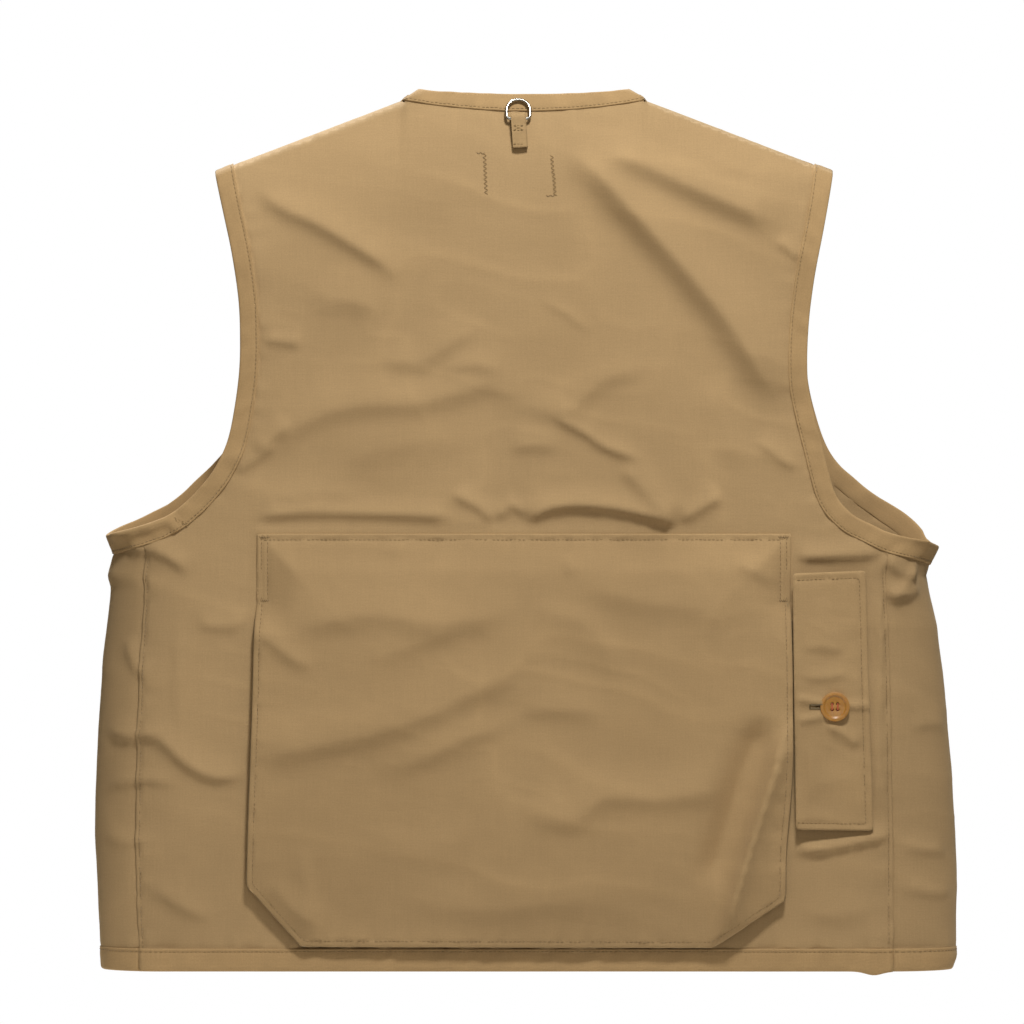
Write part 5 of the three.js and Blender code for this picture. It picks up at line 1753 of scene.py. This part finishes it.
def cut(obj: Piece, tool: Piece) -> None:
    """Cuts one object out of another and removes it."""
    modifier = obj.modifiers.new("cut", "BOOLEAN")
    modifier.operation = "DIFFERENCE"
    modifier.solver = "EXACT"
    modifier.object = tool
    apply_modifiers(obj)
    bpy.data.objects.remove(tool)


def join(parts: Sequence[Piece], name: str) -> Piece:
    """Joins objects into one and names it."""
    bpy.ops.object.select_all(action="DESELECT")
    for part in parts:
        part.select_set(True)
    bpy.context.view_layer.objects.active = parts[0]
    bpy.ops.object.join()
    return call(bpy.context.active_object, name)


def pick_faces(obj: Piece, test: Callable[[bpy.types.MeshPolygon], bool]) -> None:
    """Goes into edit mode with only the faces that pass a test selected."""
    select_only(obj)
    bpy.ops.object.mode_set(mode="EDIT")
    bpy.ops.mesh.select_mode(type="FACE")
    bpy.ops.mesh.select_all(action="DESELECT")
    bpy.ops.object.mode_set(mode="OBJECT")
    for face in obj.data.polygons:
        face.select = test(face)
    bpy.ops.object.mode_set(mode="EDIT")


@dataclass
class Button:
    """A four-hole cast button with a raised rim, sewn on with crossed thread.

    Args:
        radius: Its radius.
        thick: Its thickness at the rim.
        well: Depth of the sunken middle.
        hole: Radius of a hole.
        spread: Distance of the holes from the centre, both ways.
        rim: Width of the raised rim.
        slope: Width of the slope from the rim down to the well.
        thread: Radius of the thread.
    """

    radius: float = 10.15
    thick: float = 3.1
    well: float = 0.9
    hole: float = 1.15
    spread: float = 1.95
    rim: float = 2.1
    slope: float = 1.1
    thread: float = 0.24

    def build(self, shop: Workshop, node: str, body: str, slot: str = "button_plastic") -> None:
        """Makes a button in the place of a frame node.

        Args:
            shop: The finishes, and where pieces are put.
            node: The frame's node that it stands for.
            body: The body that it is sewn to.
            slot: The record's material slot.
        """
        low, high = node_box(node)
        centre = (low + high) / 2
        outward = 1 if centre[1] > 0 else -1
        face = high[1] if outward == 1 else low[1]
        disc = add_cylinder(self.radius, self.thick, (0, 0, -self.thick / 2), 64)
        settle(disc)
        pick_faces(disc, lambda f: f.normal.z > 0.9)
        bpy.ops.mesh.inset(thickness=self.rim * MM)
        bpy.ops.mesh.inset(thickness=self.slope * MM)
        bpy.ops.transform.translate(value=(0, 0, -self.well * MM))
        bpy.ops.object.mode_set(mode="OBJECT")
        for i in (-1, 1):
            for j in (-1, 1):
                tool = add_cylinder(self.hole, self.thick * 3, (i * self.spread, j * self.spread, 0), 20)
                settle(tool)
                cut(disc, tool)
        round_edges(disc, 0.38, 3, 25)
        dress(disc, shop.button)
        call(disc, f"{node}_disc")
        # A dark disc under the button: painted shade that shows through its holes.
        hole_shade_disc = add_cylinder(self.spread + self.hole + 0.6, 0.3, (0, 0, -self.thick + 0.2), 32)
        settle(hole_shade_disc)
        dress(hole_shade_disc, shop.hole_shade)
        call(hole_shade_disc, f"{node}_shade")
        threads = []
        for i in (-1, 1):
            for k in range(3):
                off = (k - 1) * 0.42
                span = add_cylinder(self.thread, 2 * self.spread + 0.9,
                                    (i * self.spread + off, 0, -self.well + 0.16), 8)
                span.rotation_euler.x = math.radians(90)
                threads.append(span)
                for j in (-1, 1):
                    at = (i * self.spread + off, j * (self.spread + 0.32), -self.well - 0.7)
                    threads.append(add_cylinder(self.thread, 1.9, at, 8))
        shank = abs(high[1] - low[1]) - self.thick
        threads.append(add_cylinder(1.7, shank + 1.2, (0, 0, -self.thick - shank / 2), 16))
        for part in threads:
            settle(part)
        sewn = join(threads, f"{node}_thread")
        select_only(sewn)
        bpy.ops.object.shade_smooth_by_angle(angle=math.radians(50))
        dress(sewn, shop.button_thread)
        for part in (disc, hole_shade_disc, sewn):
            part.rotation_euler = (math.radians(-90 * outward), 0, 0)
            part.location = (centre[0] * MM, face * MM, centre[2] * MM)
            settle(part)
        shop.put(disc, body, slot, node)
        shop.put(hole_shade_disc, body, slot)
        shop.put(sewn, body, slot)


@dataclass
class NetLoop:
    """The landing-net ring: a nickel D-ring held under the collar by a folded tab of the vest's cloth.

    Args:
        wire: Radius of the ring's wire.
        half: Half width of the ring, to the middle of its wire.
        leg: Length of its straight sides.
        wide: Width of the tab.
        foot: Height of the tab's sewn end.
        lean: How far the ring leans out from the vest at rest, in degrees.
        bend: Radius of the tab's bend round the ring's bar.
        cloth: Half of the doubled tab's thickness.
    """

    wire: float = 1.1
    half: float = 8.2
    leg: float = 6.4
    wide: float = 10.4
    foot: float = -31.5
    lean: float = 22.0
    bend: float = 2.1
    cloth: float = 0.6

    def build(self, shop: Workshop) -> None:
        """Makes the ring, the tab and its stitches."""
        low, high = node_box("net_ring")
        x = float(low[0] + high[0]) / 2
        bar = np.array([x, high[1] - self.wire, low[2] + self.wire])
        curve = bpy.data.curves.new("net_ring_wire", "CURVE")
        curve.dimensions = "3D"
        curve.bevel_depth = self.wire * MM
        curve.bevel_resolution = 5
        line = [(self.half * math.cos(t), self.leg + self.half * math.sin(t)) for t in np.linspace(0, math.pi, 40)]
        line += [(-self.half, 2.2), (-self.half + 0.7, 0.65), (-self.half + 2.2, 0), (self.half - 2.2, 0),
                 (self.half - 0.7, 0.65), (self.half, 2.2)]
        run = curve.splines.new("POLY")
        run.points.add(len(line) - 1)
        turn = math.radians(self.lean)
        for point, (px, pz) in zip(run.points, line):
            place = bar + np.array([px, -pz * math.sin(turn), pz * math.cos(turn)])
            point.co = (*(place * MM), 1)
        run.use_cyclic_u = True
        ring = bpy.data.objects.new("net_d_ring", curve)
        bpy.context.scene.collection.objects.link(ring)
        select_only(ring)
        bpy.ops.object.convert(target="MESH")
        ring = bpy.context.active_object
        bpy.ops.object.shade_smooth()
        dress(ring, shop.nickel)
        shop.put(ring, "ring", "nickel_ring", "net_ring")
        self.tab(shop, x, bar)

    def tab(self, shop: Workshop, x: float, bar: Array) -> None:
        """Makes the folded tab.

        Args:
            shop: The finishes, and where pieces are put.
            x: Its middle.
            bar: The middle of the ring's bar.
        """
        surface = FORM.at(np.array([x]), np.array([bar[2]]), np.array([0.0]))[0]
        lift = float(np.linalg.norm(bar - surface)) * 0.96
        path = [(self.foot, 2.1), (-26, 2.5), (-20, 2.8), (bar[2] - 3.6, 3.3), (bar[2] - 0.4, lift - 2.3)]
        for t in np.linspace(-70, 70, 9):
            t = math.radians(t)
            path.append((bar[2] + self.bend * math.cos(t), lift + self.bend * math.sin(t)))
        path += [(bar[2] - 1.0, lift + 2.4), (bar[2] - 5.0, lift + 1.4), (-21, 5.9), (-26, 5.0),
                 (self.foot - 0.6, 4.1)]
        middle = spline(path, 0.9)
        one, other = sideways(middle, self.cloth), sideways(middle, -self.cloth)
        loop = np.vstack([one, other[::-1]])
        rng = np.random.default_rng(3)
        count = 9
        points, places = [], []
        for k in range(count):
            share = k / (count - 1)
            off = (share - 0.5) * self.wide
            slant = 0.5 * (loop[:, 0] - bar[2]) / 20 * 2.8
            swell = 0.35 * math.sin(math.pi * share)
            z = loop[:, 0] + 0.25 * math.sin(5 * share + 1)
            n = loop[:, 1] + swell + 0.12 * noise(loop[:, 0] * 1.0, np.full(len(loop), off), 2.5, 91)
            edge = 0.35 * noise(loop[:, 0], np.full(len(loop), off * 3), 4.0, 92)
            points.append(FORM.at(x + off * (1 + 0.02 * edge) + slant, z, n))
            places.append(np.stack([np.full(len(loop), off), np.arange(len(loop)) * 0.9], -1))
        size = len(loop)
        faces = tube_faces(count, size)[:-2]
        half = len(one)
        for k, flip in ((0, False), (count - 1, True)):
            for s in range(half - 1):
                quad = (k * size + s, k * size + size - 1 - s, k * size + size - 2 - s, k * size + s + 1)
                faces.append(quad if flip else quad[::-1])
        wear_and_shade = rng.uniform(-0.1, 0.35, size * count)
        obj = mesh_object("net_tab_cloth", np.vstack(points), faces, shop.poplin[Tone.POCKET], np.vstack(places),
                          wear_and_shade)
        shop.put(obj, "vest", "khaki_pocket", "net_tab")
        rows = []
        under = [(bar[2] - 5.0, lift + 1.9), (-21, 6.5), (-26, 5.6), (self.foot - 0.6, 4.7)]

        def height(a: Array, z: Array) -> Array:
            """Gives the tab's outer face."""
            zs, ns = zip(*sorted(under))
            return np.interp(z, zs, ns) + 0.25

        top = bar[2] - 6.5
        half_wide = self.wide / 2 - 1.6
        for z0, z1 in ((top, top), (top - 3.2, top - 3.2), (top, top - 3.2), (top - 3.2, top)):
            rows.append((straight([(x - half_wide, z0), (x + half_wide, z1)], 2.0), height))
        rows.append((straight([(x - half_wide, self.foot + 1.6), (x + half_wide, self.foot + 1.6)], 2.0), height))
        shop.put(stitches("stitches_tab", rows, shop.thread, StitchKind(1.9, 0.5, 0.22)), "vest", "khaki_pocket")


@dataclass
class NeckLabel:
    """The blank woven label inside the neck, held by a zigzag row at each end that shows through the back."""

    def build(self, shop: Workshop, back: Layer) -> None:
        """Makes the label and its two rows.

        Args:
            shop: The finishes, and where pieces are put.
            back: The back panel's layer.
        """
        low, high = node_box("neck_label")
        left, right, foot, top = float(high[0]), float(low[0]), float(low[2]), float(high[2])
        outline = rounded(framed(right, left, foot, top), 0.8, 2.4)
        label = Layer("neck_label_cloth", outline, lambda a, z: np.full(np.shape(a), FACE - CLOTH - 0.35), (), None,
                      thick=0.45, spacing=2.4)
        cloth = shop.put(label.build(shop.label), "vest", "label_cloth", "neck_label")
        rows = []
        ends = (((left + 0.4, top + 0.6), (left - 0.4, foot), (left + 6.0, top + 0.8)),
                ((right + 0.6, top - 0.8), (right - 1.4, foot - 0.8), (right + 4.6, foot - 1.0)))
        for k, (start, end, tail) in enumerate(ends):
            line = respaced(np.array([start, end]), 1.5)
            line[:, 0] += np.where(np.arange(len(line)) % 2 == 0, 1.3, -1.3)
            line[:, 0] += 0.35 * noise(line[:, 1], line[:, 0] * 0, 9, 95 + k)
            rows.append((line, back.height))
            extra = respaced(np.array([start if k == 0 else end, tail]), 1.5)
            extra[:, 1] += np.where(np.arange(len(extra)) % 2 == 0, 0.7, -0.7)
            rows.append((extra, back.height))
        thread = stitches("zigzag_label", rows, shop.thread, StitchKind(2.4, 0.0, 0.23), each=True)
        shop.put(thread, "vest", "label_cloth")


# ---------------------------------------------------------------- the front


@dataclass
class PatchPocket:
    """A bellows pocket with a buttoned flap on a front.

    Args:
        pocket: The frame's node of the pocket.
        flap: The frame's node of the flap.
        button: The frame's node of the button.
        deep: Depth of the bellows.
        seed: Number that its creases are drawn from.
    """

    pocket: str
    flap: str
    button: str
    deep: float
    seed: int

    def build(self, shop: Workshop, side: int) -> None:
        """Makes the pocket, its flap and its button.

        Args:
            shop: The finishes, and where pieces are put.
            side: +1 for the wearer's left, -1 for the right.
        """
        low, high = node_box(self.pocket)
        flap_low, flap_high = node_box(self.flap)
        inner, outer = front_reach(low, high)
        top, foot = float(high[2]), float(low[2])
        outline = turned(rounded(framed(outer, inner, foot, top), 7.0), side)
        sewn = turned(np.array([(outer, top), (outer, foot + 5), (outer + 5, foot), (inner - 5, foot),
                                (inner, foot + 5), (inner, top)]), side)
        deep = self.deep

        def lift(a: Array, z: Array) -> Array:
            """Gives the height of the pocket's face."""
            d = distance_to(sewn, a, z)[0]
            return FACE + 0.9 + (deep - 1.6) * smooth(d, 0, 4.5) + 1.4 * smooth(d, 3, 34)

        relief = Relief((
            Crease(tuple(turned(np.array([(outer + 12, top - 30), (outer + 34, foot + 30)]), side)), 1.2, 12),
            Crease(tuple(turned(np.array([(inner - 14, top - 22), (inner - 22, foot + 22)]), side)), 1.3, 10),
        ), roll=0.7, crumple=0.6, seed=self.seed)
        rows = [Seam(turned(straight([(outer + 5, top - 12), (inner - 5, top - 12)], 3.0), side), 0.4, 0.4, 6.0,
                     self.seed)]
        ring = turned(straight([(outer + 5.5, top - 3), (outer + 5.5, foot + 5.5), (inner - 5.5, foot + 5.5),
                                (inner - 5.5, top - 3)], 3.0), side)
        rows.append(Seam(ring, 0.3, 0.3, 4.0, self.seed + 1))
        panel = Layer(f"{self.pocket}_cloth", outline, lift, tuple(rows), relief, thick=0.9, spacing=2.6)
        cloth = shop.put(panel.build(shop.poplin[Tone.POCKET]), "vest", "khaki_pocket", self.pocket)
        shop.sew(f"stitches_{self.pocket}", panel, "vest")
        flap_in, flap_out = front_reach(flap_low, flap_high)
        flap_top, flap_foot = float(flap_high[2]), float(flap_low[2])
        corner = 7.0
        shape = rounded([(flap_out, flap_top), (flap_out, flap_foot + corner), (flap_out + corner, flap_foot),
                         (flap_in - corner, flap_foot), (flap_in, flap_foot + corner), (flap_in, flap_top)], 1.6)
        shape = turned(shape, side)

        def over(a: Array, z: Array) -> Array:
            """Gives the height of the flap's face, from its seam up over the pocket."""
            return FACE + 2.0 + (deep + 1.4) * smooth(flap_top - z, 0.5, 15)

        edge = turned(straight([(flap_out + 4, flap_top - 5), (flap_out + 4, flap_foot + corner + 1),
                                (flap_out + corner + 2, flap_foot + 4), (flap_in - corner - 2, flap_foot + 4),
                                (flap_in - 4, flap_foot + corner + 1), (flap_in - 4, flap_top - 5),
                                (flap_out + 4, flap_top - 5)], 3.0), side)
        folds = Relief((), roll=0.4, crumple=0.4, seed=self.seed + 3)
        flap = Layer(f"{self.flap}_cloth", shape, over, (Seam(edge, 0.4, 0.35, 5.0, self.seed + 2),), folds,
                     thick=1.2, spacing=2.5)
        cloth = shop.put(flap.build(shop.poplin[Tone.POCKET]), self.flap, "khaki_pocket", self.flap)
        shop.sew(f"stitches_{self.flap}", flap, self.flap)
        Button().build(shop, self.button, "vest")


@dataclass
class Zip:
    """The separating zip: two tapes with single brass teeth, a slider, a pull, a box and a pin.

    Args:
        pitch: Distance from one tooth to the next.
        tooth: Length of a tooth along the zip.
    """

    pitch: float = 2.9
    tooth: float = 1.5

    def build(self, shop: Workshop) -> None:
        """Makes every piece of the zip."""
        for side, word in SIDES:
            self.side(shop, side, word)
        self.slider(shop)

    def side(self, shop: Workshop, side: int, word: str) -> None:
        """Makes one tape with its teeth, stop and end piece.

        Args:
            shop: The finishes, and where pieces are put.
            side: +1 for the wearer's left, -1 for the right.
            word: The side's name.
        """
        body = f"front_{word}"
        low, high = node_box(f"zip_teeth_{word}")
        tape_low, tape_high = node_box(f"zip_tape_{word}")
        inner, outer = min(abs(tape_low[0]), abs(tape_high[0])) - 2.6, max(abs(tape_low[0]), abs(tape_high[0]))
        a_in, a_out = FORM.centre_front - inner, FORM.centre_front - outer
        outline = turned(rounded(framed(a_out, a_in, tape_low[2], tape_high[2]), 0.8, 3.0), side)
        ridge = turned(straight([(a_in - 4.2, tape_low[2] + 2), (a_in - 4.2, tape_high[2] - 2)], 3.0), side)
        tape = Layer(f"zip_tape_{word}_cloth", outline, lambda a, z: np.full(np.shape(a), -0.35),
                     (Seam(ridge, 0.2, 0.05, 3.0, 97, sewn=False),), None, thick=0.6, spacing=3.0)
        cloth = shop.put(tape.build(shop.tape), body, "zip_tape", f"zip_tape_{word}")
        count = int((high[2] - low[2]) / self.pitch)
        middle = float(low[0] + high[0]) / 2
        wide = float(high[0] - low[0])
        base = add_box((wide - 0.9, 2.0, self.tooth), (middle + side * 0.45, 0, 0))
        head = add_box((1.5, 1.3, self.tooth * 0.75), (side * (abs(middle) - wide / 2 + 0.75), 0, 0.1))
        teeth = join([base, head], f"zip_row_{word}")
        round_edges(teeth, 0.22, 1)
        steps = np.arange(count) * self.pitch + (self.pitch / 2 if side == -1 else 0) + self.tooth
        points = np.array([v.co for v in teeth.data.vertices]) / MM
        faces = [tuple(f.vertices) for f in teeth.data.polygons]
        bpy.data.objects.remove(teeth)
        every, polygons = [], []
        for k, step in enumerate(steps):
            z = float(low[2]) + step
            run = FORM.centre_front - middle * side
            centre = FORM.at(np.array([side * run]), np.array([z]), np.array([-0.65]))[0]
            every.append(points + np.array([0, centre[1], z]))
            polygons += [tuple(i + k * len(points) for i in f) for f in faces]
        row = mesh_object(f"zip_row_{word}", np.vstack(every), polygons, shop.brass)
        select_only(row)
        bpy.ops.object.shade_smooth_by_angle(angle=math.radians(35))
        shop.put(row, body, "zip_brass", f"zip_teeth_{word}")
        self.block(shop, f"zip_top_stop_{word}", body, 0.6)
        self.block(shop, "zip_box" if side == 1 else "zip_pin", body, 0.5)

    def block(self, shop: Workshop, node: str, body: str, edge: float) -> None:
        """Makes a small brass piece with soft edges in the place of a frame node."""
        low, high = node_box(node)
        piece = add_box(high - low, (low + high) / 2)
        round_edges(piece, min(edge, 0.3 * float((high - low).min())), 3)
        dress(piece, shop.brass)
        call(piece, f"{node}_brass")
        shop.put(piece, body, "zip_brass", node)

    def slider(self, shop: Workshop) -> None:
        """Makes the slider with its bridge, and the pull that hangs from it."""
        low, high = node_box("zip_slider")
        pull_low, pull_high = node_box("zip_pull")
        size, centre = high - low, (low + high) / 2
        front = float(low[1])
        top_y = front + 4.0
        parts = []
        for y in (top_y, float(high[1]) - 0.75):
            plate = add_box((size[0], 1.5, size[2]), (centre[0], y, centre[2]))
            narrow(plate, -1, 0.62)
            round_edges(plate, 0.45, 3)
            parts.append(plate)
        web_at = (float(high[0]) - 0.9, (top_y + high[1]) / 2 - 0.4, centre[2])
        parts.append(add_box((1.4, float(high[1]) - top_y, size[2] - 2), web_at))
        half = float(pull_high[0] - pull_low[0]) / 2 + 0.3
        middle = float(pull_low[0] + pull_high[0]) / 2
        eye_z = float(pull_high[2]) - 2.1
        for end in (-1, 1):
            post = add_box((1.2, 4.2, 2.6), (middle + end * (half + 0.6), front + 2.1, eye_z))
            round_edges(post, 0.4, 3)
            parts.append(post)
        bar = add_cylinder(0.75, 2 * half + 1.6, (middle, front + 0.9, eye_z), 20)
        bar.rotation_euler.y = math.radians(90)
        settle(bar)
        parts.append(bar)
        slider = join(parts, "zip_slider_brass")
        dress(slider, shop.brass)
        shop.put(slider, "slider", "zip_brass", "zip_slider")
        long = float(pull_high[2] - pull_low[2])
        wide = float(pull_high[0] - pull_low[0])
        y = float(pull_low[1] + pull_high[1]) / 2
        pull = add_box((wide, 1.3, long), (middle, y, float(pull_low[2] + pull_high[2]) / 2))
        narrow(pull, 1, 0.78)
        for z, radius in ((eye_z, 1.15), (float(pull_low[2]) + 3.2, 1.3)):
            tool = add_cylinder(radius, 8, (middle, y, z), 24)
            tool.rotation_euler.x = math.radians(90)
            settle(tool)
            cut(pull, tool)
        round_edges(pull, 0.3, 2)
        call(pull, "zip_pull_brass")
        dress(pull, shop.brass)
        shop.put(pull, "pull", "zip_brass", "zip_pull")


@dataclass
class FlyPatch:
    """The shearling patch that flies are hooked into, sewn on the wearer's right chest."""

    def build(self, shop: Workshop) -> None:
        """Makes the patch with its pile."""
        low, high = node_box("fly_patch")
        inner, outer = front_reach(low, high)
        outline = turned(rounded(framed(outer, inner, low[2], high[2]), 4.0, 1.3), -1)

        def pile(a: Array, z: Array) -> Array:
            """Gives the height of the pile."""
            d = distance_to(np.vstack([outline, outline[:1]]), a, z)[0]
            curls = 0.9 * noise(a, z, 3.6, 101) + 0.6 * noise(a, z, 1.9, 102) + 0.5 * noise(a + z, z - a, 7.0, 103)
            return FACE + 1.0 + smooth(d, 0, 3.2) * (3.4 + curls)

        patch = Layer("fly_patch_pile", outline, pile, (), None, thick=1.6, spacing=1.0)
        obj = shop.put(patch.build(shop.fleece), "vest", "fleece", "fly_patch")


# ---------------------------------------------------------------- the studio


# Each area light's name, place in metres, power in watts and size in metres.
LIGHTS = (("key", (-0.22, 1.05, 1.1), 28.5, 0.3), ("fill", (-0.2, 2.2, 0.1), 4.2, 1.2),
          ("front_key", (0.46, -1.1, 1.1), 32.0, 0.3), ("front_fill", (-0.6, -2.1, 0.1), 4.6, 1.2))


@dataclass
class Studio:
    """A pale floor under the vest, a soft white room, and a camera that looks at the vest's back.

    Args:
        centre: The point that the camera looks at, in metres.
        wide: Width of what it sees at that point, in metres.
        away: Its distance, in metres.
    """

    centre: tuple[float, float, float] = (0.0084, 0.0, -0.2849)
    wide: float = 0.7168
    away: float = 4.2

    def build(self) -> None:
        """Makes the floor, the lights and the camera."""
        scene = bpy.context.scene
        world = bpy.data.worlds.new("studio_white")
        world.use_nodes = True
        tree = world.node_tree
        tree.nodes.clear()
        seen = add_node(tree, "LightPath").outputs["Is Camera Ray"]
        room = add_node(tree, "Background", {"Color": linear("#fff3e0"), "Strength": 0.2})
        white = add_node(tree, "Background", {"Color": linear("#ffffff"), "Strength": 1.0})
        both = add_node(tree, "MixShader", None, in0=seen, in1=room.outputs[0], in2=white.outputs[0])
        add_node(tree, "OutputWorld", None, Surface=both.outputs[0])
        scene.world = world
        bpy.ops.object.select_all(action="DESELECT")
        bpy.ops.mesh.primitive_cylinder_add(vertices=96, radius=0.62, depth=0.01, location=(0, 0, -0.735))
        floor = bpy.context.active_object
        call(floor, "studio_floor")
        paint = bpy.data.materials.new("studio_floor_paint")
        paint.use_nodes = True
        shader = paint.node_tree.nodes["Principled BSDF"]
        shader.inputs["Base Color"].default_value = linear("#f2f1ee")
        shader.inputs["Roughness"].default_value = 0.9
        dress(floor, paint)
        for name, place, power, size in LIGHTS:
            light = bpy.data.lights.new(f"studio_{name}", "AREA")
            light.energy = power
            light.size = size
            light.shape = "DISK"
            obj = bpy.data.objects.new(f"studio_{name}", light)
            obj.location = place
            obj.rotation_mode = "QUATERNION"
            obj.rotation_quaternion = (Vector((0, 0, -0.3)) - Vector(place)).to_track_quat("-Z", "Y")
            scene.collection.objects.link(obj)
        camera = bpy.data.cameras.new("studio_camera")
        camera.sensor_width = FILM_MM
        camera.lens = FILM_MM * self.away / self.wide
        camera.clip_start, camera.clip_end = 0.05, 50.0
        obj = bpy.data.objects.new("studio_camera", camera)
        obj.location = (self.centre[0], self.centre[1] + self.away, self.centre[2])
        obj.rotation_mode = "QUATERNION"
        obj.rotation_quaternion = Vector((0, -1, 0)).to_track_quat("-Z", "Y")
        scene.collection.objects.link(obj)
        scene.camera = obj
        scene.view_settings.view_transform = "Standard"


def main() -> None:
    """Builds the vest and the studio."""
    logging.basicConfig(level=logging.INFO, format="%(name)s: %(message)s")
    for obj in list(bpy.data.objects):
        if obj.type in {"LIGHT", "CAMERA"} or obj.name == "Cube":
            bpy.data.objects.remove(obj)
    shop = Workshop()
    layers = Shell(Pattern()).build(shop)
    CreelPouch().build(shop)
    CreelFlap().build(shop)
    Button().build(shop, "creel_flap_button", "vest")
    NetLoop().build(shop)
    NeckLabel().build(shop, layers["back"])
    for side, word in SIDES:
        for row, deep, seed in (("chest", 9.0, 110), ("lower", 12.0, 120)):
            nodes = (f"{row}_{kind}_{word}" for kind in ("pocket", "flap", "button"))
            PatchPocket(*nodes, deep, seed + side).build(shop, side)
    Zip().build(shop)
    FlyPatch().build(shop)
    Studio().build()
    bpy.context.view_layer.update()
    LOG.info("made %d pieces", shop.made)


if __name__ == "__main__":
    main()
